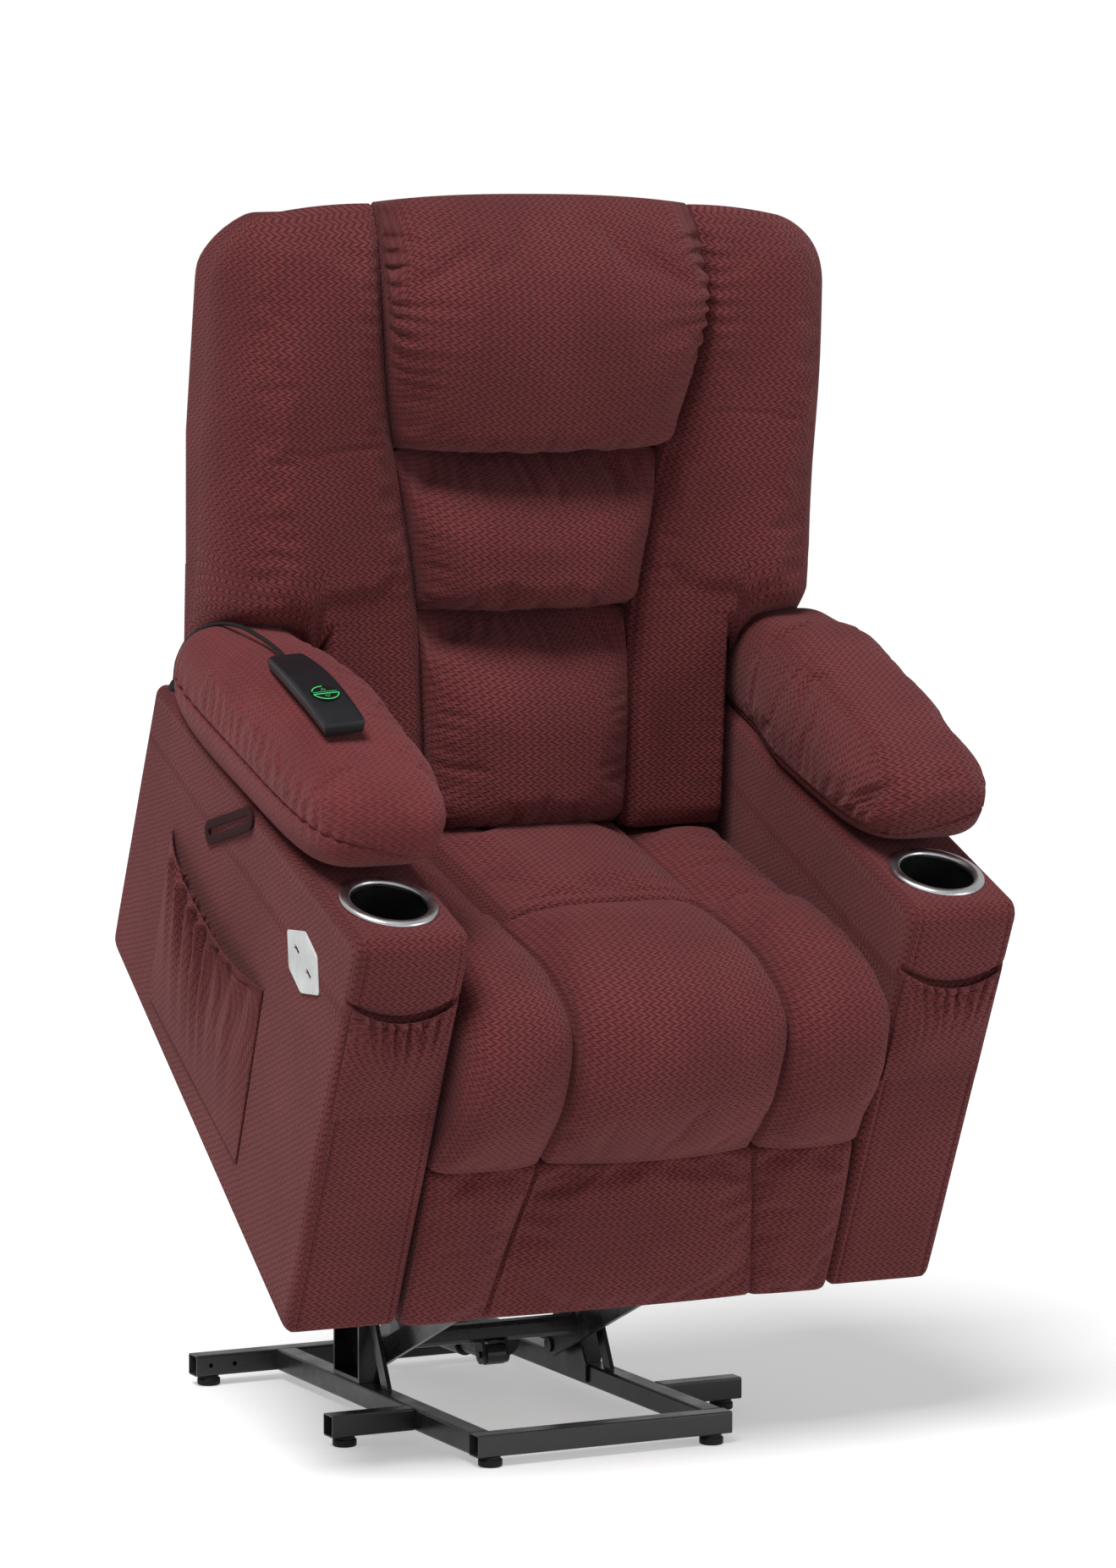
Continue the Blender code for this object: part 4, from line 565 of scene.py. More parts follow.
class Tree:
    """A node tree under construction, with short calls for the nodes that finishes use."""

    def __init__(self, tree: bpy.types.NodeTree) -> None:
        """Holds the tree."""
        self.tree = tree

    def node(self, kind: str, **settings: object) -> Node:
        """A new node; a setting that names a socket sets or feeds it, another one is a property."""
        made = self.tree.nodes.new(kind)
        for key, value in settings.items():
            if hasattr(made, key) and key not in made.inputs:
                setattr(made, key, value)
            else:
                self.put(made.inputs[key], value)
        return made

    def put(self, socket: Socket, value: object) -> None:
        """Feeds a socket from another one, or sets its value."""
        if isinstance(value, bpy.types.NodeSocket):
            self.tree.links.new(value, socket)
        else:
            socket.default_value = value

    def fill(self, node: Node, values: dict[str, object]) -> None:
        """Sets or feeds several sockets of a node."""
        for key, value in values.items():
            self.put(node.inputs[key], value)

    def math(self, kind: str, *values: object) -> Socket:
        """A Math node's result."""
        made = self.tree.nodes.new("ShaderNodeMath")
        made.operation = kind
        for socket, value in zip(made.inputs, values):
            self.put(socket, value)
        return made.outputs[0]

    def ramp(self, value: Socket, low: float, high: float, start: float = 0.0, end: float = 1.0) -> Socket:
        """Carries a value from low..high to start..end, smoothly and clamped."""
        made = self.tree.nodes.new("ShaderNodeMapRange")
        made.interpolation_type = "SMOOTHSTEP"
        self.fill(made, {"Value": value, "From Min": low, "From Max": high, "To Min": start, "To Max": end})
        return made.outputs["Result"]

    def noise(self, vector: Socket, scale: float, detail: float = 2.0) -> Socket:
        """A noise texture's value."""
        return self.node("ShaderNodeTexNoise", Vector=vector, Scale=scale, Detail=detail).outputs["Fac"]

    def mix(self, share: object, first: object, second: object) -> Socket:
        """A mixed colour."""
        made = self.tree.nodes.new("ShaderNodeMix")
        made.data_type = "RGBA"
        self.put(made.inputs[0], share)
        self.put(made.inputs[6], first)
        self.put(made.inputs[7], second)
        return made.outputs[2]


def new_group(name: str, inputs: dict[str, tuple[str, object]], outputs: dict[str, str]) -> tuple[Tree, Node, Node]:
    """An empty shader group with named sockets.

    Args:
        name: the group's name.
        inputs: socket name to (kind, default).
        outputs: socket name to kind.

    Returns:
        Its tree and its input and output nodes.
    """
    group = bpy.data.node_groups.new(name, "ShaderNodeTree")
    for key, (kind, default) in inputs.items():
        made = group.interface.new_socket(key, in_out="INPUT", socket_type=kind)
        if default is not None:
            made.default_value = default
    for key, kind in outputs.items():
        group.interface.new_socket(key, in_out="OUTPUT", socket_type=kind)
    tree = Tree(group)
    return tree, tree.node("NodeGroupInput"), tree.node("NodeGroupOutput")


def build_weave() -> None:
    """The zigzag cloth: upright zigzag grooves, a ribbed thread between them and fuzz.

    A groove lies where the distance across, plus a triangle wave of the distance along, is half
    a column past a whole number of them. A fainter one lies across at each turn of the wave.
    """
    number = "NodeSocketFloat"
    tree, take, give = new_group(
        "zigzag_weave",
        {
            "Vector": ("NodeSocketVector", None),
            "Column": (number, 0.0088),
            "Row": (number, 0.0080),
            "Depth": (number, 1.0),
        },
        {"Groove": number, "Height": number, "Fuzz": number},
    )
    split = tree.node("ShaderNodeSeparateXYZ", Vector=take.outputs["Vector"])
    drift = tree.math("MULTIPLY", tree.noise(take.outputs["Vector"], 60.0), 0.30)
    across = tree.math("ADD", tree.math("DIVIDE", split.outputs["X"], take.outputs["Column"]), drift)
    along = tree.math("ADD", tree.math("DIVIDE", split.outputs["Y"], take.outputs["Row"]), drift)
    wave = tree.math("MULTIPLY", tree.math("PINGPONG", along, 0.5), 1.7)
    place = tree.math("FRACT", tree.math("ADD", across, wave))
    away = tree.math("ABSOLUTE", tree.math("SUBTRACT", place, 0.5))
    groove_mask = tree.ramp(away, 0.07, 0.29, 1.0, 0.0)
    row = tree.math("FRACT", tree.math("MULTIPLY", along, 2.0))
    cross = tree.ramp(tree.math("ABSOLUTE", tree.math("SUBTRACT", row, 0.5)), 0.30, 0.48)
    groove_mask = tree.math("MAXIMUM", groove_mask, tree.math("MULTIPLY", cross, 0.45))
    thread = tree.math("SINE", tree.math("MULTIPLY", along, math.tau * 4))
    fuzz = tree.noise(take.outputs["Vector"], 1500.0, 3.0)
    height = tree.math("SUBTRACT", tree.math("MULTIPLY", fuzz, 0.5), groove_mask)
    height = tree.math("ADD", height, tree.math("MULTIPLY", thread, 0.08))
    tree.put(give.inputs["Groove"], groove_mask)
    tree.put(give.inputs["Height"], tree.math("MULTIPLY", height, take.outputs["Depth"]))
    tree.put(give.inputs["Fuzz"], fuzz)


def build_mottle_and_highlight() -> None:
    """Mottle and painted edge highlight: broad soft noise, fine grain and a mask where edges are proud, for a highlight
    painted along them.
    """
    number = "NodeSocketFloat"
    tree, take, give = new_group(
        "mottle_and_edge_highlight",
        {"Vector": ("NodeSocketVector", None), "Broad": (number, 12.0), "Fine": (number, 400.0)},
        {"Mottle": number, "Grain": number, "EdgeHighlight": number},
    )
    vector = take.outputs["Vector"]
    tree.put(give.inputs["Mottle"], tree.ramp(tree.noise(vector, take.outputs["Broad"], 4.0), 0.32, 0.68))
    tree.put(give.inputs["Grain"], tree.noise(vector, take.outputs["Fine"], 2.0))
    proud = tree.node("ShaderNodeNewGeometry").outputs["Pointiness"]
    # painted highlight: the mask of proud edges, where light is painted on
    edge_highlight_mask = tree.ramp(tree.math("ADD", proud, tree.math("MULTIPLY", tree.noise(vector, 160.0), 0.05)), 0.53, 0.60)
    tree.put(give.inputs["EdgeHighlight"], edge_highlight_mask)


Colour = tuple[float, float, float]


def rgba(colour: Colour) -> tuple[float, float, float, float]:
    """A colour with full alpha."""
    return (*colour, 1.0)


def scaled(colour: Colour, share: float) -> tuple[float, float, float, float]:
    """A colour made darker or lighter."""
    return tuple(channel * share for channel in colour) + (1.0,)


@dataclass(frozen=True)
class Finish:
    """What every finish has: a name, a colour, a roughness and a slot."""

    name: str
    colour: Colour
    roughness: float
    slot: str

    def begin(self) -> tuple[bpy.types.Material, Tree, Node, Node]:
        """A new material with its tree, its shader and its coordinates."""
        material = bpy.data.materials.new(self.name)
        material.use_nodes = True
        tree = Tree(material.node_tree)
        shader = material.node_tree.nodes["Principled BSDF"]
        tree.fill(shader, {"Base Color": rgba(self.colour), "Roughness": self.roughness})
        return material, tree, shader, tree.node("ShaderNodeTexCoord")

    def group(self, tree: Tree, name: str, **settings: object) -> Node:
        """Places a shared group with this material's own values."""
        made = tree.tree.nodes.new("ShaderNodeGroup")
        made.node_tree = bpy.data.node_groups[name]
        tree.fill(made, settings)
        return made

    def mottle_and_highlight(self, tree: Tree, coordinates: Node, broad: float, fine: float) -> Node:
        """The shared mottle, grain and painted edge highlight mask, in the object's own coordinates."""
        return self.group(tree, "mottle_and_edge_highlight", Vector=coordinates.outputs["Object"], Broad=broad, Fine=fine)

    def bump(self, tree: Tree, shader: Node, height: Socket, distance: float, strength: float = 1.0) -> None:
        """Feeds the shader's normal from a height."""
        made = tree.node("ShaderNodeBump", Strength=strength, Distance=distance, Height=height)
        tree.put(shader.inputs["Normal"], made.outputs["Normal"])

    def build(self) -> bpy.types.Material:
        """The material."""
        raise NotImplementedError


@dataclass(frozen=True)
class Chenille(Finish):
    """The burgundy zigzag cloth of the chair; `relief` is how deep the zigzag shows, in its bump and in the painted
    shade of its grooves.
    """

    relief: float = 1.0

    def build(self) -> bpy.types.Material:
        """Painted shade darkens the colour in the grooves, a painted highlight lightens it on the fuzz and mottle
        varies it; all three raise the normal.
        """
        material, tree, shader, coordinates = self.begin()
        cloth = coordinates.outputs["UV"]
        weave = self.group(tree, "zigzag_weave", Vector=cloth, Depth=self.relief)
        mottle_and_highlight = self.mottle_and_highlight(tree, coordinates, 9.0, 220.0)
        colour = tree.mix(mottle_and_highlight.outputs["Mottle"], scaled(self.colour, 0.86), scaled(self.colour, 1.14))
        # painted shade: the grooves are darkened towards a fifth of the cloth's colour
        dark = tree.math("MULTIPLY", weave.outputs["Groove"], 0.97 * self.relief)
        colour = tree.mix(dark, colour, scaled(self.colour, 0.22))
        # painted highlight: the highest fuzz is lightened towards nearly twice the cloth's colour
        light = tree.ramp(weave.outputs["Fuzz"], 0.42, 0.70, 0.0, 0.5)
        colour = tree.mix(light, colour, scaled(self.colour, 1.9))
        tree.fill(
            shader,
            {
                "Base Color": colour,
                "Specular IOR Level": 0.12,
                "Sheen Weight": 0.22,
                "Sheen Roughness": 0.5,
                "Sheen Tint": (0.75, 0.42, 0.42, 1.0),
            },
        )
        self.bump(tree, shader, weave.outputs["Height"], 0.0011, 0.8)
        return material


@dataclass(frozen=True)
class PowderCoat(Finish):
    """Satin black paint on steel, with a painted highlight that lightens it at proud edges."""

    # painted highlight: the colour that proud edges are lightened towards
    edge_highlight_colour: Colour = (0.045, 0.045, 0.05)

    def build(self) -> bpy.types.Material:
        """Mottle moves the roughness, a painted edge highlight lightens the colour and grain raises the normal."""
        material, tree, shader, coordinates = self.begin()
        mottle_and_highlight = self.mottle_and_highlight(tree, coordinates, 22.0, 900.0)
        colour = tree.mix(mottle_and_highlight.outputs["Mottle"], rgba(self.colour), scaled(self.colour, 1.7))
        # painted highlight along proud edges
        colour = tree.mix(tree.math("MULTIPLY", mottle_and_highlight.outputs["EdgeHighlight"], 0.6), colour, rgba(self.edge_highlight_colour))
        rough = tree.ramp(mottle_and_highlight.outputs["Mottle"], 0.0, 1.0, self.roughness - 0.06, self.roughness + 0.08)
        tree.fill(shader, {"Base Color": colour, "Roughness": rough, "Specular IOR Level": 0.38})
        self.bump(tree, shader, mottle_and_highlight.outputs["Grain"], 0.0003, 0.35)
        return material


@dataclass(frozen=True)
class BareMetal(Finish):
    """Chrome: a metal whose brushing and dulling follow fine noise."""

    grain: float = 0.1

    def build(self) -> bpy.types.Material:
        """Mottle moves the roughness and the colour a little."""
        material, tree, shader, coordinates = self.begin()
        mottle_and_highlight = self.mottle_and_highlight(tree, coordinates, 40.0, 1200.0)
        colour = tree.mix(mottle_and_highlight.outputs["Mottle"], scaled(self.colour, 0.88), rgba(self.colour))
        rough = tree.ramp(mottle_and_highlight.outputs["Mottle"], 0.0, 1.0, self.roughness, self.roughness + self.grain)
        tree.fill(shader, {"Base Color": colour, "Roughness": rough, "Metallic": 1.0})
        self.bump(tree, shader, mottle_and_highlight.outputs["Grain"], 0.0001, 0.2)
        return material


@dataclass(frozen=True)
class Moulded(Finish):
    """Moulded plastic or rubber with a fine spark texture."""

    texture: float = 0.3
    shine: float = 0.5

    def build(self) -> bpy.types.Material:
        """Grain raises the normal; mottle varies colour and roughness."""
        material, tree, shader, coordinates = self.begin()
        mottle_and_highlight = self.mottle_and_highlight(tree, coordinates, 30.0, 1600.0)
        colour = tree.mix(mottle_and_highlight.outputs["Mottle"], scaled(self.colour, 0.88), scaled(self.colour, 1.10))
        rough = tree.ramp(mottle_and_highlight.outputs["Grain"], 0.3, 0.7, self.roughness - 0.05, self.roughness + 0.06)
        tree.fill(shader, {"Base Color": colour, "Roughness": rough, "Specular IOR Level": self.shine})
        self.bump(tree, shader, mottle_and_highlight.outputs["Grain"], 0.0003, self.texture)
        return material


@dataclass(frozen=True)
class Plywood(Finish):
    """Bare board: stretched noise for its grain."""

    def build(self) -> bpy.types.Material:
        """Noise drawn out along X darkens the colour in streaks."""
        material, tree, shader, coordinates = self.begin()
        place = tree.node("ShaderNodeMapping", Vector=coordinates.outputs["Object"])
        place.inputs["Scale"].default_value = (6.0, 90.0, 90.0)
        streak = tree.ramp(tree.noise(place.outputs["Vector"], 1.0, 5.0), 0.35, 0.7)
        tree.put(shader.inputs["Base Color"], tree.mix(streak, rgba(self.colour), scaled(self.colour, 0.62)))
        self.bump(tree, shader, streak, 0.0004, 0.3)
        return material


@dataclass(frozen=True)
class Glow(Finish):
    """A lit mark on the handset."""

    strength: float = 3.0

    def build(self) -> bpy.types.Material:
        """Its light varies softly along the mark."""
        material, tree, shader, coordinates = self.begin()
        drift = tree.noise(coordinates.outputs["Object"], 90.0)
        light = tree.mix(drift, rgba(self.colour), scaled(self.colour, 0.6))
        tree.fill(shader, {"Emission Color": light, "Emission Strength": self.strength})
        return material


CLOTH = Chenille("burgundy_chenille", (0.166, 0.037, 0.040), 0.9, "upholstery")
PAD_CLOTH = Chenille("burgundy_arm_chenille", (0.172, 0.037, 0.040), 0.9, "upholstery", 0.6)
STEEL = PowderCoat("black_powder_coat", (0.0045, 0.0045, 0.005), 0.27, "black_steel")
CHROME = BareMetal("bright_chrome", (0.66, 0.67, 0.69), 0.27, "chrome", 0.07)
RUBBER = Moulded("black_rubber", (0.008, 0.008, 0.008), 0.6, "rubber", 0.5, 0.22)
BLACK_PLASTIC = Moulded("charcoal_plastic", (0.010, 0.012, 0.015), 0.34, "black_plastic", 0.3, 0.3)
CUP_PLASTIC = Moulded("cup_black", (0.004, 0.004, 0.004), 0.45, "black_plastic", 0.3, 0.2)
BUTTON_PLASTIC = Moulded("button_face", (0.005, 0.008, 0.008), 0.28, "black_plastic", 0.1, 0.3)
WHITE_PLASTIC = Moulded("off_white_plastic", (0.70, 0.72, 0.71), 0.32, "white_plastic", 0.1)
WEBBING = Moulded("dark_webbing", (0.034, 0.010, 0.012), 0.85, "strap", 0.8, 0.15)
BOARD = Plywood("bare_plywood", (0.30, 0.19, 0.11), 0.7, "board")
LIT_GREEN = Glow("lit_green", (0.05, 0.60, 0.16), 0.4, "black_plastic", 0.8)
DARK_GREEN = Glow("dim_green", (0.03, 0.35, 0.12), 0.4, "black_plastic", 0.35)
FINISHES = (
    *(CLOTH, PAD_CLOTH, STEEL, CHROME, RUBBER, BLACK_PLASTIC, CUP_PLASTIC),
    *(BUTTON_PLASTIC, WHITE_PLASTIC, WEBBING, BOARD, LIT_GREEN, DARK_GREEN),
)


class Wardrobe:
    """Builds each finish once and puts it on pieces and nodes."""

    def __init__(self) -> None:
        """Builds the groups and the materials."""
        build_weave()
        build_mottle_and_highlight()
        self.made = {finish.name: finish.build() for finish in FINISHES}

    def dress(self, piece: Object, finish: Finish, body: str, *nodes: str) -> Object:
        """Gives a new piece its material, its body and the nodes it stands for.

        Args:
            piece: the finished piece.
            finish: what it is made of.
            body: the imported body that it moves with.
            nodes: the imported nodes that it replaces.

        Returns:
            The piece.
        """
        piece.data.materials.clear()
        piece.data.materials.append(self.made[finish.name])
        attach(piece, body)
        if nodes:
            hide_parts(*nodes)
        LOG.info("%s rides on %s", piece.name, body)
        return piece

    def repaint(self, finish: Finish, *nodes: str) -> None:
        """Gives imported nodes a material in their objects' own slots."""
        for node in nodes:
            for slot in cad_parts[node].material_slots:
                slot.link = "OBJECT"
                slot.material = self.made[finish.name]


# ---------------------------------------------------------------- studio


@dataclass
class Studio:
    """The pale floor, the soft lamps and the camera at the photograph's viewing angle."""

    camera_place: tuple[float, float, float] = (-2.8171, -5.6660 + BASE_FRONT_Y, 1.3413)
    camera_pitch: float = 90 - 5.379
    camera_turn: float = -25.949
    focal_pixels: float = 6882.73
    picture_width: int = 1319
    sensor: float = 36.0
    sun_power: float = 2.75
    sun_angle: float = 26.0
    sun_from: tuple[float, float, float] = (-0.46, -0.40, 1.0)
    fill_power: float = 26.0
    room_light: float = 0.165
    room_in_gloss: float = 0.5
    floor_lift: float = 0.40

    def camera(self) -> None:
        """A long lens whose horizontal field matches the photograph's."""
        lens = bpy.data.cameras.new("photo_camera")
        lens.sensor_fit = "HORIZONTAL"
        lens.sensor_width = self.sensor
        lens.lens = self.sensor * self.focal_pixels / self.picture_width
        lens.clip_end = 60.0
        stand = linked("photo_camera", lens)
        stand.location = self.camera_place
        stand.rotation_euler = (math.radians(self.camera_pitch), 0.0, math.radians(self.camera_turn))
        bpy.context.scene.camera = stand

    def floor(self) -> None:
        """A wide level disc that turns up far behind; seen by the camera it is lifted to white."""
        radius = np.array([0.0, 1.0, 2.5, 5.0, 9.0, 14.0])
        turn = np.linspace(0, math.tau, 64, endpoint=False)
        ring = np.stack([np.cos(turn), np.sin(turn), turn * 0], -1)
        points = radius[:, None, None] * ring[None]
        points[..., 2] -= 0.0002
        piece = mesh_object("studio_floor", points, grid_quads(len(radius), len(turn), False, True))
        if piece.data.polygons[0].normal.z < 0:
            piece.data.flip_normals()
        material = bpy.data.materials.new("pale_floor")
        material.use_nodes = True
        tree = Tree(material.node_tree)
        shader = material.node_tree.nodes["Principled BSDF"]
        coordinates = tree.node("ShaderNodeTexCoord")
        speck = tree.noise(coordinates.outputs["Object"], 3.0)
        colour = tree.mix(speck, rgba((0.80, 0.80, 0.80)), rgba((0.82, 0.82, 0.82)))
        tree.fill(shader, {"Base Color": colour, "Roughness": 0.7, "Specular IOR Level": 0.1})
        rays = tree.node("ShaderNodeLightPath")
        seen = tree.math("MAXIMUM", rays.outputs["Is Camera Ray"], rays.outputs["Is Glossy Ray"])
        lift = tree.node("ShaderNodeEmission", Strength=tree.math("MULTIPLY", seen, self.floor_lift))
        both = tree.node("ShaderNodeAddShader")
        tree.put(both.inputs[0], shader.outputs[0])
        tree.put(both.inputs[1], lift.outputs[0])
        tree.put(material.node_tree.nodes["Material Output"].inputs["Surface"], both.outputs[0])
        piece.data.materials.append(material)

    def lamp(self, name: str, kind: str, power: float, towards: Vector) -> Object:
        """A lamp that shines from the direction `towards` it."""
        light = bpy.data.lights.new(name, kind)
        light.energy = power
        lamp = linked(name, light)
        lamp.rotation_euler = towards.to_track_quat("Z", "Y").to_euler()
        return lamp

    def light(self) -> None:
        """A wide high sun from the left, a low fill and a pale room."""
        sun = self.lamp("key", "SUN", self.sun_power, Vector(self.sun_from))
        sun.data.angle = math.radians(self.sun_angle)
        place = Vector((2.6, -3.4, 1.3))
        fill = self.lamp("fill", "AREA", self.fill_power, place - Vector((0, 0, 0.6)))
        fill.location = place
        fill.data.shape = "DISK"
        fill.data.size = 1.8
        world = bpy.data.worlds.new("studio")
        world.use_nodes = True
        bpy.context.scene.world = world
        tree = Tree(world.node_tree)
        back = world.node_tree.nodes["Background"]
        rays = tree.node("ShaderNodeLightPath")
        shown = tree.math("MAXIMUM", rays.outputs["Is Camera Ray"], rays.outputs["Is Transmission Ray"])
        shown = tree.math("ADD", shown, tree.math("MULTIPLY", rays.outputs["Is Glossy Ray"], self.room_in_gloss))
        strength = tree.math("MAXIMUM", tree.math("MINIMUM", shown, 1.0), self.room_light)
        tree.fill(back, {"Color": (1, 1, 1, 1), "Strength": strength})
        bpy.context.scene.view_settings.view_transform = "Standard"

    def build(self) -> None:
        """Everything but the chair."""
        self.camera()
        self.floor()
        self.light()


# ---------------------------------------------------------------- cord and handset


@dataclass
class HandsetCord:
    """The handset's thin cord over the crest of the arm pad and down to its gland."""

    radius: float = 0.0024
    spacing: float = 0.011
    gap: float = 0.0003
    gland_place: tuple[float, float] = (-0.3800, 0.5405)
    gland_height: float = 0.010
    crest: tuple[tuple[float, float, float], ...] = (
        (-0.3560, 0.3850, 0.6500),
        (-0.3600, 0.4350, 0.6420),
        (-0.3670, 0.4850, 0.6230),
        (-0.3760, 0.5230, 0.5920),
        (-0.3800, 0.5390, 0.5600),
    )

    def route(self) -> list[Vector]:
        """The listed points in chair coordinates, mouth first."""
        turn = HANDSET_TURN.to_matrix()
        mouth = Vector((0.0, HANDSET_LENGTH / 2 + self.gap, HANDSET_HEIGHT * 0.32))
        mouth = Vector(HANDSET_PLACE) + turn @ mouth
        normal = Vector((0.0, -math.sin(DECK_SLOPE), math.cos(DECK_SLOPE)))
        foot = Vector((*self.gland_place, float(deck_height(self.gland_place[1])) + self.gap))
        top = foot + normal * self.gland_height + normal * self.gap
        return [mouth, mouth + turn @ Vector((0.0, 0.018, 0.0)), *map(Vector, self.crest), top]

    def smooth(self) -> list[Vector]:
        """Points on Catmull-Rom pieces through the route, close enough for a round bend."""
        chosen = self.route()
        padded = [2 * chosen[0] - chosen[1], *chosen, 2 * chosen[-1] - chosen[-2]]
        points: list[Vector] = []
        for p0, p1, p2, p3 in zip(padded, padded[1:], padded[2:], padded[3:]):
            count = max(2, round((p2 - p1).length / self.spacing)) * 2
            for t in np.linspace(0, 1, count, endpoint=False):
                bend = (3 * p1 - p0 - 3 * p2 + p3) * t**3 + (2 * p0 - 5 * p1 + 4 * p2 - p3) * t**2
                points.append(p1 + 0.5 * ((p2 - p0) * t + bend))
        return [*points, chosen[-1]]

    def build(self, wardrobe: Wardrobe) -> None:
        """A round curve on that route."""
        points = [Vector(p) for p in to_world(np.array([tuple(p) for p in self.smooth()]))]
        curve = bpy.data.curves.new("handset_lead", "CURVE")
        curve.dimensions = "3D"
        curve.bevel_depth = self.radius
        curve.bevel_resolution = 4
        curve.use_fill_caps = True
        spline = curve.splines.new("POLY")
        spline.points.add(len(points) - 1)
        for knot, point in zip(spline.points, points):
            knot.co = (*point, 1.0)
        spline.use_smooth = True
        lead = linked("handset_lead", curve)
        wardrobe.dress(lead, RUBBER, "carriage", "handset_cord")


@dataclass
class Handset:
    """The two-key hand control lying on the left arm pad."""

    length: float = HANDSET_LENGTH
    width: float = 0.050
    height: float = HANDSET_HEIGHT
    key_depth: float = 0.004
    seat: float = 0.0003
    line: float = 0.0011
    button_radius: float = 0.0155
    button_y: float = -0.026
    split: float = 0.0016

    def half_disc(self, sign: float, radius: float, edge: float) -> Array:
        """Half of a round key behind (+1) or before (-1) the split, in turn."""
        turn = math.asin(edge / radius)
        angle = np.linspace(turn, math.pi - turn, 40)
        outline = np.stack([radius * np.cos(angle), self.button_y + sign * radius * np.sin(angle)], -1)
        return outline if sign > 0 else outline[::-1]

    def shell(self, wardrobe: Wardrobe) -> None:
        """A bowed, tapered bar: rounded across by a power curve and thinned towards its ends."""
        across = np.linspace(-1, 1, 41)
        along = np.linspace(-1, 1, 81)
        through = np.linspace(0, 1, 13)

        def place(a: Array, b: Array, c: Array) -> tuple[Array, Array, Array]:
            c = 1 - c
            size = np.maximum(np.abs(a), np.abs(2 * c - 1))
            radius = (np.abs(a) ** 7 + np.abs(2 * c - 1) ** 7) ** (1 / 7)
            pull = np.where(radius > 0, size / np.maximum(radius, 1e-9), 1.0)
            width = self.width / 2 * (1 - 0.12 * np.clip(b, 0, 1) ** 2) * (1 - 0.10 * (1 - c))
            thick = self.height * (0.80 + 0.20 * np.cos(0.5 * math.pi * b))
            end = 1 - 0.012 * np.abs(a) ** 3 - 0.010 * np.abs(2 * c - 1) ** 4
            middle = thick / 2 - 0.004 * b * b
            x = a * pull * width * (1 - 0.05 * np.abs(b) ** 12)
            y = b * self.length / 2 * end
            z = middle + (2 * c - 1) * pull * thick / 2
            turned = np.stack([x, y, z], -1) @ np.array(HANDSET_TURN.to_matrix()).T + np.array(HANDSET_PLACE)
            return turned[..., 0], turned[..., 1], turned[..., 2]

        shell = box_shell("handset_case", place, across, along, through)
        matrix = handset_matrix()
        tools = []
        for sign in (1.0, -1.0):
            outline = self.half_disc(sign, self.button_radius + self.seat, self.split / 2 - self.seat)
            low = self.height - self.key_depth
            tools.append(extruded(f"recess_{sign}", outline, low, self.height + 0.01, matrix))
        carved(shell, tools)
        shell.data.shade_smooth()
        shell.data.set_sharp_from_angle(angle=math.radians(32))
        wardrobe.dress(shell, BLACK_PLASTIC, "carriage", "handset_shell")

    def keys(self, wardrobe: Wardrobe) -> None:
        """Each key with a lit arc, a lit straight line and its arrow outline."""
        foot = self.height - self.key_depth + 0.001 + self.seat
        top = foot + 0.003
        for name, sign in (("up", 1.0), ("down", -1.0)):
            outline = self.half_disc(sign, self.button_radius, self.split / 2)
            key = extruded(f"key_{name}", outline, foot, top, handset_matrix(), 0.0004)
            wardrobe.dress(key, BUTTON_PLASTIC, f"button_{name}", f"handset_button_{name}")
            rim = self.half_disc(sign, self.button_radius - 0.0012, self.split / 2 + self.line)
            if sign > 0:
                rim = rim[len(rim) // 2 - 2 : -3]
            edge = self.button_y + sign * (self.split / 2 + self.line)
            bar = np.array([(-0.0135, edge), (0.0135, edge)])
            centre = self.button_y + sign * 0.0072
            wing = centre - sign * 0.0014
            arrow = np.array([(-0.0030, wing), (0.0030, wing), (0.0, centre + sign * 0.0026)])
            marks = (
                ("rim", rim, 0.00055, LIT_GREEN),
                ("bar", bar, 0.0006, LIT_GREEN if sign < 0 else DARK_GREEN),
                ("arrow", np.concatenate([arrow, arrow[:1]]), 0.00028, DARK_GREEN),
            )
            for kind, line, half, finish in marks:
                piece = self.mark(f"lit_{kind}_{name}", line, top, half, kind == "arrow")
                wardrobe.dress(piece, finish, f"button_{name}")

    def mark(self, name: str, line: Array, top: float, half: float, closed: bool) -> Object:
        """A thin raised line of half width `half` along an outline that lies on a key."""
        line, _ = resampled(line, 60, closed)
        local = np.concatenate([line, np.full((len(line), 1), top + 0.00008)], 1)
        matrix = np.array(handset_matrix())
        path = local @ matrix[:3, :3].T + matrix[:3, 3]
        return swept(name, path, disc(half, 8, 0.5), matrix[:3, 2], closed)

    def build(self, wardrobe: Wardrobe) -> None:
        """Shell, keys and the cord gland's black plastic."""
        self.shell(wardrobe)
        self.keys(wardrobe)
        wardrobe.repaint(BLACK_PLASTIC, "cord_gland")


# ---------------------------------------------------------------- arms


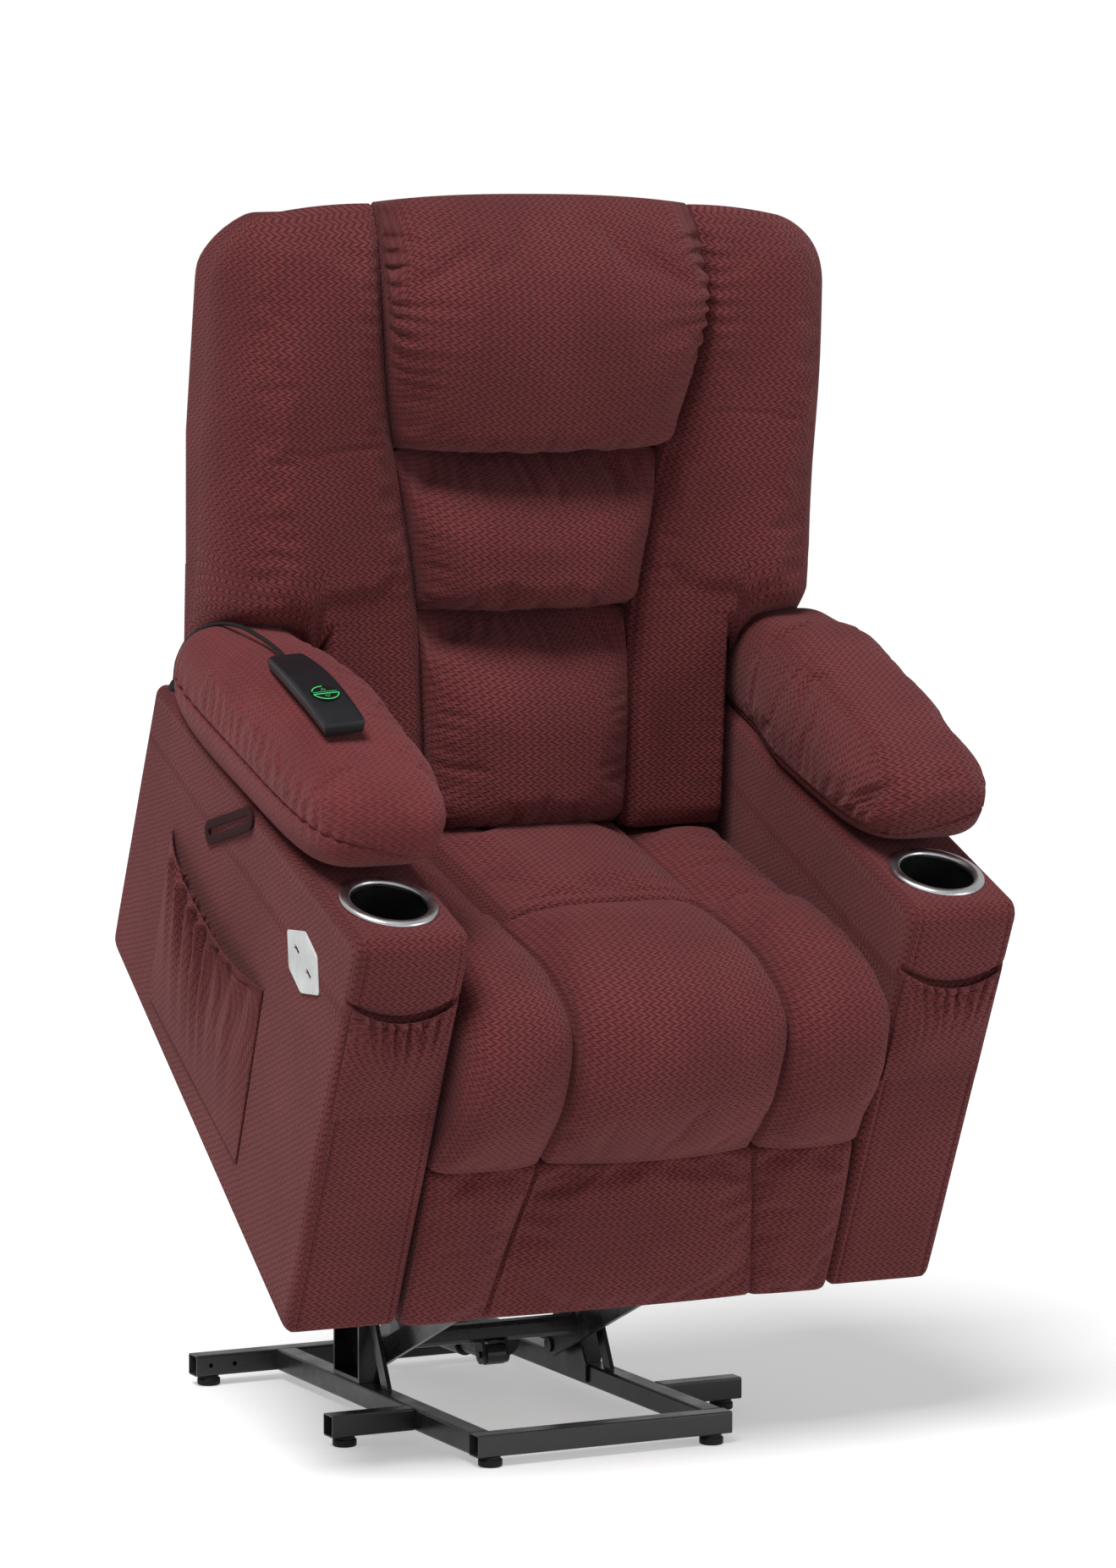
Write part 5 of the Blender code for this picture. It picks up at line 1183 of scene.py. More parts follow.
@dataclass
class ArmBox:
    """An upholstered arm: a softly edged box with sewn front panel, cup and pocket."""

    edge: float = 0.012
    front_roll: float = 0.016
    seam_inset: float = 0.0125
    pocket_foot: float = 0.275
    cap_foot: float = 0.413
    sag: float = 0.022
    ring_inner: float = 0.0415
    ring_outer: float = 0.0535
    cup_depth: float = 0.078
    pitch: float = 0.0085

    def slit_height(self, share: Array) -> Array:
        """The height of the pocket's mouth across the arm's front, a sagging parabola."""
        return self.cap_foot - self.sag * (1 - (2 * share - 1) ** 2)

    def cover(self, wardrobe: Wardrobe, tag: str, side: float) -> None:
        """A box whose corners are rolled round in the side view and whose sides roll in at x."""
        half = (ARM_OUTER - ARM_INNER) / 2
        deep, tall = 0.300, 0.250
        r = self.edge
        seams_a = (half - self.seam_inset, -half + self.seam_inset)
        rims = [k for v in (0.02, 0.1, 0.25, 0.45, 0.7, 1.0) for k in (half - r * v, r * v - half)]
        a = merged(spaced(-half, half, self.pitch, seams_a, 0.0012), rims)
        turns = np.array([0.0, 0.05, 0.14, 0.26, 0.4, 0.55, 0.7, 0.85, 1.0]) * self.front_roll
        slit = (np.linspace(0.384, 0.424, 21) / ARM_CORNERS["front_top"][1] - 0.5) * 2 * tall
        b = merged(spaced(-tall, tall, self.pitch), tall - turns, turns * 0.5 - tall, slit)
        c = merged(spaced(-deep, deep, self.pitch), turns - deep, deep - turns * 0.5)
        corners = ARM_CORNERS

        def place(p: Array, q: Array, s: Array) -> tuple[Array, Array, Array]:
            up, back = q, s
            for along, behind, roll in ((1, -1, self.front_roll), (1, 1, r), (-1, -1, r), (-1, 1, r)):
                u = along * up - tall + roll
                v = behind * back - deep + roll
                both = (u > 0) & (v > 0)
                share = np.where(both, np.maximum(u, v) / np.maximum(np.hypot(u, v), 1e-9), 1.0)
                up = np.where(both, along * (tall - roll + u * share), up)
                back = np.where(both, behind * (deep - roll + v * share), back)
            inset = r - np.sqrt(np.clip(r * r - np.clip(np.abs(p) - half + r, 0, r) ** 2, 0, None))
            up = up * (1 - inset / tall)
            back = back * (1 - inset / deep)
            lift = (up + tall) / (2 * tall)
            rear = (back + deep) / (2 * deep)
            y, z = (
                (1 - lift) * ((1 - rear) * corners["front_foot"][k] + rear * corners["rear_foot"][k])
                + lift * ((1 - rear) * corners["front_top"][k] + rear * corners["rear_top"][k])
                for k in (0, 1)
            )
            on_front = np.clip((-s - deep + 0.004) / 0.004, 0, 1)
            seam = groove(np.minimum(np.abs(p - seams_a[0]), np.abs(p - seams_a[1])), 0.0022, 0.0016)
            share = np.clip((p / half + 1) / 2, 0, 1)
            slit_z = self.slit_height(share)
            mouth = groove(z - slit_z - 0.0022, 0.0085, 0.0026) * np.clip((0.5 - np.abs(share - 0.5)) / 0.05, 0, 1)
            puff = np.cos(np.clip(p / half, -1, 1) * math.pi / 2) * np.clip((z - slit_z) / 0.016, 0, 1)
            puff = puff * np.clip((0.484 - z) / 0.03, 0, 1)
            pucker = gathers(share * 0.13, z - slit_z, 0.017, 0.022, 300 + int(side)) * 0.0014
            y = y + on_front * (seam + mouth - puff * 0.0045 - pucker * puff)
            outer = np.clip((np.abs(p) - half + 0.003) / 0.003, 0, 1)
            wave = unevenness(y, z, 0.16, 5 + int(side)) * 0.0012
            x = p + outer * np.sign(p) * wave * np.clip(1 - np.abs(q / tall) ** 6, 0, 1)
            top = np.clip((q - tall + 0.003) / 0.003, 0, 1)
            z = z + top * np.cos(np.clip(p / half, -1, 1) * math.pi / 2) * 0.0012
            return side * ((ARM_INNER + ARM_OUTER) / 2 + x), y, z

        cover = turn_cloth(box_shell(f"arm_cover_{tag}", place, a, b, c))
        centre_x = side * (ARM_INNER + ARM_OUTER) / 2
        top = to_world(np.array([centre_x, CUP_Y, deck_height(CUP_Y)]))
        axis = chair_matrix().to_3x3() @ Vector((0.0, -math.sin(DECK_SLOPE), math.cos(DECK_SLOPE)))
        radius, floor = CUP_RADIUS + 0.0006, -self.cup_depth - 0.002
        profile = [(0.0, floor), (radius, floor), (radius, 0.02), (0.0, 0.02)]
        tools = [lathe(f"well_{tag}", profile, top, axis, 64)]
        if side < 0:
            tools += SocketPlate().recesses()
        carved(cover, tools)
        wardrobe.dress(cover, CLOTH, "carriage", f"arm_{tag}")
        self.cup(wardrobe, tag, top, axis)

    def cup(self, wardrobe: Wardrobe, tag: str, top: Array, axis: Vector) -> None:
        """A bright rolled ring round a black cup."""
        turn = np.linspace(0, math.pi, 15)
        inside = CUP_RADIUS - 0.0025
        middle = (self.ring_outer + self.ring_inner) / 2
        half = (self.ring_outer - self.ring_inner) / 2
        ring = [(middle + half * math.cos(t), 0.0003 + 0.0052 * math.sin(t) ** 0.7) for t in turn]
        ring += [(self.ring_inner + 0.0008, -0.0035), (inside - 0.0012, -0.0035), (inside - 0.0008, 0.0003)]
        rim = lathe(f"cup_rim_{tag}", ring, top, axis, 128)
        wardrobe.dress(rim, CHROME, "carriage", f"cup_ring_{tag}")
        floor = -self.cup_depth
        wall = [(0.0, floor), (CUP_RADIUS - 0.004, floor), (CUP_RADIUS, floor + 0.004)]
        wall += [(CUP_RADIUS, 0.0), (inside, 0.0), (inside - 0.0006, -0.002)]
        wall += [(inside - 0.0012, floor + 0.008), (inside - 0.006, floor + 0.003), (0.0, floor + 0.0025)]
        bowl = lathe(f"cup_bowl_{tag}", wall, top, axis, 96)
        wardrobe.dress(bowl, CUP_PLASTIC, "carriage", f"cup_{tag}")

    def front_pocket(self, wardrobe: Wardrobe, tag: str, side: float) -> None:
        """A pouch whose top edge sags; it swells off the panel and its gathers fade downwards."""
        slope = ARM_CORNERS["front_top"][0] / ARM_CORNERS["front_top"][1]
        inner, outer = ARM_INNER + 0.0070, ARM_OUTER - 0.0070
        width = outer - inner
        tall = 0.130
        a = np.linspace(0, 1, 91)
        b = np.concatenate([np.linspace(0, 0.9, 52), np.linspace(0.912, 1.0, 15)])
        c = np.array([0.0, 1.0])

        def place(p: Array, q: Array, s: Array) -> tuple[Array, Array, Array]:
            x = inner + width * p
            top = self.slit_height(np.clip((x - ARM_INNER) / (ARM_OUTER - ARM_INNER), 0, 1))
            z = self.pocket_foot + (self.cap_foot - self.pocket_foot) * q
            z = z + (top - self.cap_foot) * q**1.5
            down = (1 - q) * tall
            across = (1 - np.abs(2 * p - 1) ** 3) ** 0.8
            rise = np.sin(math.pi / 2 * np.minimum(1.0, q / 0.66)) ** 1.3
            rise = rise * (1 - 0.42 * np.clip((q - 0.66) / 0.34, 0, 1))
            fan = (p - 0.5) * width * (1 + down * 4.5)
            fold = gathers(fan, down, 0.0150, 0.062, 11 + int(side)) * 0.0062
            fold += gathers(fan, down, 0.0075, 0.030, 31 + int(side)) * 0.0030
            hem = groove(down - 0.0040, 0.0016, 0.0030) - groove(down - 0.0088, 0.0014, 0.0013)
            hem = hem - groove(down - 0.0002, 0.0010, 0.0012)
            swell = 0.0128 * across * rise
            off = swell + np.maximum(-swell * 0.5, fold + 0.0010) * across * q + hem * across
            thick = np.where(s > 0.5, 0.0, POUCH_CLOTH)
            return side * x, z * slope - np.maximum(off, 0.0003) - thick, z

        pouch = box_shell(f"front_pouch_{tag}", place, a, b, c)
        wardrobe.dress(pouch, CLOTH, "carriage", f"front_pocket_{tag}")

    def build(self, wardrobe: Wardrobe) -> None:
        """Both arms."""
        for tag, side in SIDES.items():
            self.cover(wardrobe, tag, side)
            self.front_pocket(wardrobe, tag, side)


@dataclass
class SidePocket:
    """The wide gathered pocket on the left arm's outer face."""

    rear_foot: tuple[float, float] = (0.460, 0.181)
    front_foot: tuple[float, float] = (0.177, 0.119)
    front_top: tuple[float, float] = (0.169, 0.332)
    rear_top: tuple[float, float] = (0.457, 0.390)

    def build(self, wardrobe: Wardrobe) -> None:
        """A panel blended between its corners, swelling off the arm, gathered under its hem."""
        a = np.linspace(0, 1, 121)
        b = np.concatenate([np.linspace(0, 0.93, 62), np.linspace(0.94, 1.0, 13)])
        c = np.array([0.0, 1.0])
        corners = [np.array(v) for v in (self.rear_foot, self.front_foot, self.front_top, self.rear_top)]
        length = float(np.linalg.norm(corners[0] - corners[1]))
        tall = 0.211

        def place(p: Array, q: Array, s: Array) -> tuple[Array, Array, Array]:
            rf, ff, ft, rt = corners
            foot = rf + (ff - rf) * p[..., None]
            top = rt + (ft - rt) * p[..., None]
            bow = np.array([0.10, 0.98]) * (0.010 * (1 - (2 * p - 1) ** 2) * q**2)[..., None]
            spot = foot + (top - foot) * q[..., None] - bow
            down = (1 - q) * tall
            across = (1 - np.abs(2 * p - 1) ** 3) ** 0.8
            rise = np.sin(math.pi / 2 * np.minimum(1.0, q / 0.70)) ** 1.2 * (1 + 0.15 * np.clip((q - 0.7) / 0.3, 0, 1))
            rear = blended(p, ((0.0, 0.9), (0.25, 1.25), (0.5, 1.0), (0.8, 0.65), (1.0, 0.5)))
            wave = gathers(p * length * (1 + down * 0.6), down, 0.036, 0.170, 3) * 1.15
            pleat = np.sign(wave) * np.abs(wave) ** 1.25 * 0.0080 * rear
            pleat += gathers(p * length, down, 0.017, 0.090, 8) * 0.0022 * rear
            hem = groove(down - 0.0045, 0.0016, 0.0032) - groove(down - 0.0098, 0.0015, 0.0014)
            swell = 0.0150 * across * rise
            off = swell + np.maximum(-swell * 0.72, pleat) * across * np.clip(q * 1.6, 0, 1) + hem * across
            thick = np.where(s > 0.5, 0.0, POUCH_CLOTH)
            return -ARM_OUTER - np.maximum(off, 0.0003) - thick, spot[..., 0], spot[..., 1]

        pouch = turn_cloth(box_shell("side_pouch", place, a, b, c))
        wardrobe.dress(pouch, CLOTH, "carriage", "side_pocket")


@dataclass
class SocketPlate:
    """The off-white six-cornered plate with two sockets, on the left arm's outer face."""

    corners: Knots = (
        *((0.129, 0.423), (0.086, 0.441), (0.049, 0.429)),
        *((0.032, 0.392), (0.075, 0.374), (0.112, 0.386)),
    )
    thickness: float = 0.002
    port: tuple[float, float] = (0.0130, 0.0062)
    spread: float = 0.019
    depth: float = 0.012

    def frames(self) -> tuple[Array, Array, Array]:
        """The plate's centre, its long direction and the one across it, as (y, z)."""
        points = np.array(self.corners)
        along = points[0] - points[3]
        along /= np.linalg.norm(along)
        return points.mean(0), along, np.array([-along[1], along[0]])

    def slab(self, name: str, outline: Array, inner: float, outer: float, soften: float = 0.0) -> Object:
        """A flat outline of (y, z) between two distances out from the chair's middle."""
        lift = Matrix(((0, 0, -1, 0), (1, 0, 0, 0), (0, 1, 0, 0), (0, 0, 0, 1)))
        return extruded(name, outline, inner, outer, chair_matrix() @ lift, soften)

    def recesses(self) -> list[Object]:
        """Tools for the two sockets' holes in the arm."""
        centre, along, _ = self.frames()
        made = []
        for sign in (-1, 1):
            outline = self.box(centre + along * sign * self.spread, self.port)
            made.append(self.slab(f"socket_hole_{sign}", outline, ARM_OUTER - self.depth, ARM_OUTER + 0.02))
        return made

    def box(self, middle: Array, size: tuple[float, float]) -> Array:
        """A rectangle in line with the plate."""
        _, along, across = self.frames()
        reach, rise = along * size[0] / 2, across * size[1] / 2
        return np.array([middle - reach - rise, middle + reach - rise, middle + reach + rise, middle - reach + rise])

    def rounded_plate(self, inset: float, radius: float = 0.004) -> Array:
        """The plate's outline drawn in and its corners turned by short curves."""
        points = np.array(self.corners)[::-1]
        centre = points.mean(0)
        points = centre + (points - centre) * (1 - inset / 0.03)
        out = []
        for k in range(len(points)):
            here, before, after = points[k], points[k - 1], points[(k + 1) % len(points)]
            start = here + (before - here) / np.linalg.norm(before - here) * radius
            end = here + (after - here) / np.linalg.norm(after - here) * radius
            for t in np.linspace(0, 1, 6):
                out.append((1 - t) ** 2 * start + 2 * t * (1 - t) * here + t * t * end)
        return np.array(out)

    def build(self, wardrobe: Wardrobe) -> None:
        """The plate with softened edges and two port holes, dark sockets and their tongues."""
        centre, along, across = self.frames()
        face = ARM_OUTER + 0.0003
        plate = self.slab("socket_plate", self.rounded_plate(0.0), face, face + self.thickness, 0.0007)
        tools = []
        for sign in (-1, 1):
            outline = self.box(centre + along * sign * self.spread, self.port)
            tools.append(self.slab(f"port_hole_{sign}", outline, face - 0.01, face + 0.01))
        carved(plate, tools).data.shade_flat()
        wardrobe.dress(plate, WHITE_PLASTIC, "carriage", "usb_plate")
        floor = ARM_OUTER - self.depth + 0.0005
        for name, sign in (("front", -1), ("rear", 1)):
            middle = centre + along * sign * self.spread
            tongue = self.box(middle + across * 0.0008, (0.0100, 0.0018))
            for kind, outline, low, high in (
                ("back", self.box(middle, (0.0126, 0.0058)), floor, floor + 0.002),
                ("tongue", tongue, floor + 0.002, ARM_OUTER - 0.0005),
            ):
                piece = self.slab(f"socket_{kind}_{name}", outline, low, high)
                wardrobe.dress(piece, CUP_PLASTIC, "carriage")


@dataclass
class PullLoop:
    """The dark webbing loop that hangs on the left arm's outer face."""

    rear: tuple[float, float] = (0.354, 0.4335)
    front: tuple[float, float] = (0.262, 0.4915)
    half: float = 0.0135
    stroke: float = 0.0098

    def build(self, wardrobe: Wardrobe) -> None:
        """A flat band carried round a long slot, its edge rounded."""
        rear, front = np.array(self.rear), np.array(self.front)
        along = (front - rear) / np.linalg.norm(front - rear)
        start = math.atan2(along[1], along[0])
        middle = self.half - self.stroke / 2
        turn = np.linspace(-math.pi / 2, math.pi / 2, 24)
        tip = np.stack([front[0] + middle * np.cos(start + turn), front[1] + middle * np.sin(start + turn)], -1)
        heel = np.stack([rear[0] - middle * np.cos(start + turn), rear[1] - middle * np.sin(start + turn)], -1)
        line, share = resampled(np.concatenate([tip, heel, tip[:1]]), 160, True)
        lift = 0.0023 + 0.0006 * np.sin(share * math.tau * 2)
        path = to_world(np.concatenate([-(ARM_OUTER + lift)[:, None], line], 1))
        turn = np.linspace(0, math.tau, 20, endpoint=False)
        round_it = np.stack([np.cos(turn), np.sin(turn)], -1)
        square = np.sign(round_it) * np.abs(round_it) ** 0.5
        band = swept("pull_strap", path, square * np.array([self.stroke / 2, 0.0016]), (-1, 0, 0), True)
        wardrobe.dress(band, WEBBING, "carriage", "pull_loop")


@dataclass
class ArmPad:
    """A stuffed pad on top of an arm, sewn round its lower third."""

    inner: float = 0.247
    outer: float = 0.410
    front: float = 0.048
    rear: float = 0.532
    fall: float = 0.070
    middle: float = 0.563
    square: float = 4.5
    crown: float = 2.7
    under: float = 2.9
    seam: float = -0.10
    inner_seam: float = -0.62
    top_line: Knots = (
        *((0.048, 0.624), (0.200, 0.637), (0.350, 0.647)),
        *((0.440, 0.640), (0.488, 0.641), (0.532, 0.620)),
    )

    def seam_height(self, p: Array) -> Array:
        """The share of the block's height where the seam runs, lowest at the inner side."""
        return self.seam + (self.inner_seam - self.seam) * np.clip((0.6 - p) / 1.4, 0, 1) ** 1.3

    def top_height(self, x: Array, y: Array) -> Array:
        """The height of the pad's top over a point: the superquadric solved for its height."""
        p = (np.abs(x) - (ARM_INNER + self.outer) / 2) / ((self.outer - ARM_INNER) / 2)
        q = (y - (self.front + self.rear) / 2) / ((self.rear - self.front) / 2)
        plan = (np.abs(p) ** self.square + np.abs(q) ** self.square) ** (self.crown / self.square)
        return self.middle + np.clip(1 - plan, 0, 1) ** (1 / self.crown) * (blended(y, self.top_line) - self.middle)

    def cover(self, wardrobe: Wardrobe, stuffing: Stuffing, tag: str, side: float) -> Object:
        """A block pressed into a superquadric: its plan is a squarish oval and its section a rounder one."""
        a = np.linspace(-1, 1, 41)
        b = np.linspace(-1, 1, 97)
        c = np.concatenate([np.linspace(-1, -0.75, 5), np.linspace(-0.72, 0.0, 34), np.linspace(0.06, 1, 16)])[::-1]

        def surface(p: Array, q: Array, s: Array) -> tuple[Array, Array, Array]:
            size = np.maximum(np.maximum(np.abs(p), np.abs(q)), np.abs(s))
            crown = np.where(s > 0, self.crown, self.under)
            plan = (np.abs(p) ** self.square + np.abs(q) ** self.square) ** (crown / self.square)
            length = np.maximum((plan + np.abs(s) ** crown) ** (1 / crown), 1e-9)
            p2, q2, s2 = (v * size / length for v in (p, q, s))
            y = (self.front + self.rear) / 2 + q2 * (self.rear - self.front) / 2
            rise = blended(y, self.top_line) - self.middle
            tuck = (ARM_INNER - self.inner) * np.clip((y - 0.30) / 0.08, 0, 1)
            walls = np.clip((np.maximum(np.abs(p2), np.abs(q2)) - 0.72) / 0.2, 0, 1)
            seam = self.seam_height(p2)
            crease = groove(s - seam, 0.0042, 0.024) * walls
            waist = 0.0035 * np.clip(-s2, 0, 1) ** 2
            lo = self.inner + tuck
            round_it = np.arctan2(q2 * 1.1, p2) * 0.17
            above = np.clip(s - seam, 0, None) * 0.085
            front = np.clip((-q2 - 0.62) / 0.3, 0, 1)
            behind = np.clip((q2 - 0.45) / 0.3, 0, 1) * np.clip(p2, 0, 1)
            strength = 0.0006 + 0.0034 * np.maximum(front, behind * 0.7)
            pucker = gathers(round_it, above, 0.015, 0.026, 41 + int(side)) * walls * strength
            pucker += gathers(round_it, above, 0.007, 0.012, 51 + int(side)) * walls * strength * 0.5
            below = np.clip(seam - s, 0, None) * 0.07
            pucker += gathers(round_it, below, 0.013, 0.018, 61 + int(side)) * walls * strength * 0.4
            x = (lo + self.outer) / 2 + p2 * ((self.outer - lo) / 2 - crease - waist + pucker)
            y = y - q2 * (crease * np.abs(q2) ** 2 + waist - pucker)
            z = np.where(s2 > 0, self.middle + s2 * rise, self.middle + s2 * self.fall)
            z = z + pucker * 0.6 * np.clip(s2 * 4, 0, 1)
            z = z + unevenness(x, y, 0.12, 71 + int(side)) * 0.0014 * np.clip(s2 * 3, 0, 1)
            z = np.maximum(z, deck_height(y) + 0.0006)
            return side * x, y, z

        def held(p: Array, q: Array, s: Array) -> Array:
            x, y, _ = surface(p, q, s)
            under_handset = (side < 0) & (np.abs(x - HANDSET_PLACE[0]) < 0.050) & (y > 0.12)
            return ((s < self.seam_height(p) + 0.12) | under_handset | (y > 0.40)).astype(float)

        pad = box_shell(f"arm_pad_cover_{tag}", surface, a, b, c, held)
        stuffing.add(pad, 0.006)
        return pad

    def build(self, wardrobe: Wardrobe, stuffing: Stuffing) -> None:
        """Both pads."""
        for tag, side in SIDES.items():
            pad = smoothed(self.cover(wardrobe, stuffing, tag, side))
            wardrobe.dress(pad, PAD_CLOTH if side < 0 else CLOTH, "carriage", f"arm_pad_{tag}")


# ---------------------------------------------------------------- seat


def channel(x: Array, edges: Sequence[float], power: float = 0.6) -> Array:
    """0 at each seam and 1 in the middle of each channel: a parabola raised to a power."""
    edges = np.asarray(edges)
    i = np.clip(np.searchsorted(edges, x, side="right") - 1, 0, len(edges) - 2)
    share = (x - edges[i]) / (edges[i + 1] - edges[i])
    return np.clip(1 - (2 * share - 1) ** 2, 0, 1) ** power


@dataclass
class Seat:
    """Three stuffed channels that roll over the front, and a raised pad on the middle one."""

    crown: float = 0.026
    bottom: float = 0.2503
    rear: float = 0.440
    pad_front: float = 0.167
    stops: tuple[float, ...] = (0.0, 0.16, 0.30, 0.40, 0.62, 1.0)

    def build(self, wardrobe: Wardrobe, stuffing: Stuffing) -> None:
        """A strip carried along the seat's outline, crowned between seams."""
        top = [(-0.012, 0.1985), (-0.047, 0.290), (-0.036, 0.368), (0.020, 0.392)]
        top += [(self.pad_front, 0.392), (self.rear, 0.388)]
        under = [(0.0275, 0.1985), (0.0275, 0.232)]
        under += [(y, self.bottom) for y in (0.0275, 0.075, 0.200, self.rear)]
        lean = [(-0.50, -0.86), (-0.97, -0.10), (-0.75, 0.66), (-0.12, 0.99), (0.0, 1.0), (0.0, 1.0)]
        lines = {}
        for name, pairs in (("top", top), ("under", under), ("lean", lean)):
            lines[name] = [[(s, p[k]) for s, p in zip(self.stops, pairs)] for k in (0, 1)]
        edges = (-SEAT_HALF - 0.02, -SEAT_SEAM, SEAT_SEAM, SEAT_HALF + 0.02)
        pad_b = 0.625

        def place(x: Array, b: Array, c: Array) -> tuple[Array, Array, Array]:
            shrink = np.clip((np.abs(x) - SEAT_HALF + 0.026) / 0.026, 0, 1)
            outer_y, outer_z = (blended(b, line) for line in lines["top"])
            under_y, under_z = (stepped(b, line) for line in lines["under"])
            lean_y, lean_z = (blended(b, line) for line in lines["lean"])
            length = np.hypot(lean_y, lean_z)
            swell = channel(x, edges) * np.sin(math.pi * np.minimum(1.0, 0.06 + b * 0.92)) ** 0.7
            swell = swell * np.where(np.abs(x) < SEAT_SEAM, 1.25, 1.0)
            step_x = np.clip((SEAT_PAD_HALF + 0.004 - np.abs(x)) / 0.010, 0, 1)
            step_b = np.clip((b - pad_b + 0.008) / 0.022, 0, 1)
            step = np.sqrt(step_x * (2 - step_x)) * np.sqrt(step_b * (2 - step_b))
            puff = 0.004 * np.sin(math.pi * np.clip((b - pad_b) / (1 - pad_b), 0, 1)) ** 0.5
            puff = puff * np.clip(1 - (x / SEAT_PAD_HALF) ** 4, 0, 1)
            flat = 1 - 0.55 * np.clip((b - 0.60) / 0.04, 0, 1)
            lift = self.crown * swell * flat + 0.0125 * step + puff * step
            seam_distance = np.abs(np.abs(x) - SEAT_SEAM)
            lift = lift - groove(seam_distance, 0.0055, 0.0035)
            along = b * 0.62
            inside = np.abs(x) < SEAT_SEAM
            pucker = gathers(along, seam_distance, 0.013, 0.014, 91) * 0.0009 * np.where(inside, 1.0, 0.8)
            lift = lift + pucker * np.clip(1 - step * 2, 0, 1)
            lift = lift + unevenness(x, along, 0.11, 95) * 0.0016 * channel(x, edges)
            rim = 0.016 * shrink**2 * np.clip(0.25 + b * 9, 0, 1)
            y = outer_y + lean_y / length * (lift - rim)
            z = outer_z + lean_z / length * (lift - rim)
            px = x + np.sign(x) * (0.0035 - 0.004 * shrink * (1 - c) * np.clip(b * 9, 0, 1))
            return px, y + (under_y - y) * c, z + (under_z - z) * c

        def held(x: Array, b: Array, c: Array) -> Array:
            sewn = np.abs(np.abs(x) - SEAT_SEAM) < 0.005
            step = (np.abs(np.abs(x) - SEAT_PAD_HALF) < 0.008) & (b > pad_b - 0.02)
            step |= (np.abs(b - pad_b) < 0.022) & (np.abs(x) < SEAT_SEAM)
            ends = (np.abs(x) > SEAT_HALF - 0.006) | (b < 0.02) | (b > 0.93)
            return ((c > 0.05) | sewn | step | ends).astype(float)

        seams = (-SEAT_SEAM, SEAT_SEAM, -SEAT_PAD_HALF - 0.001, SEAT_PAD_HALF + 0.001)
        a = spaced(-SEAT_HALF, SEAT_HALF, 0.0065, seams, 0.0018)
        near_pad = pad_b + np.array([-0.010, -0.006, -0.002, 0.002, 0.006, 0.010, 0.014])
        b = merged(np.linspace(0, 1, 118), near_pad)
        cover = smoothed(box_shell("seat_cover", place, a, b, np.linspace(0, 1, 9), held))
        stuffing.add(cover, 0.012)
        wardrobe.dress(cover, CLOTH, "seat", "seat_cushion")
        wardrobe.repaint(BOARD, "seat_frame", "legrest_board")


# ---------------------------------------------------------------- back

BACK_FRONT_LINE = ((0.29, 0.450), (0.41, 0.4665), (0.56, 0.500), (0.79, 0.565), (0.98, 0.597), (1.08, 0.604))
BACK_REAR_LINE = ((0.29, 0.500), (0.41, 0.537), (0.56, 0.580), (0.79, 0.658), (0.98, 0.690), (1.08, 0.664))
SEAM_DEPTH_LINE = ((0.41, 0.380), (0.635, 0.455), (0.81, 0.501), (1.01, 0.533), (1.08, 0.575))
SEAM_LINE = ((0.41, 0.119), (0.635, 0.131), (1.03, 0.197), (1.08, 0.194))
WING_EDGE_LINE = ((0.41, 0.398), (0.635, 0.445), (0.73, 0.472), (0.93, 0.520), (1.08, 0.585))


def corner_inset(z: Array, top: float, radius: float) -> Array:
    """How far a rounded top corner has drawn in at a height: a quarter circle."""
    share = np.clip((z - top + radius) / radius, 0, 1)
    return radius * (1 - np.sqrt(np.clip(1 - share * share, 0, 1)))


def hidden_plane(z: Array) -> Array:
    """The depth that pillows and sides rest back on."""
    return np.minimum(stepped(z, BACK_FRONT_LINE), stepped(BACK_TOP, BACK_FRONT_LINE)) - 0.0006


class PillowKind(Enum):
    """The two kinds of pillow in the back's middle column."""

    HEAD = "head"
    LUMBAR = "lumbar"


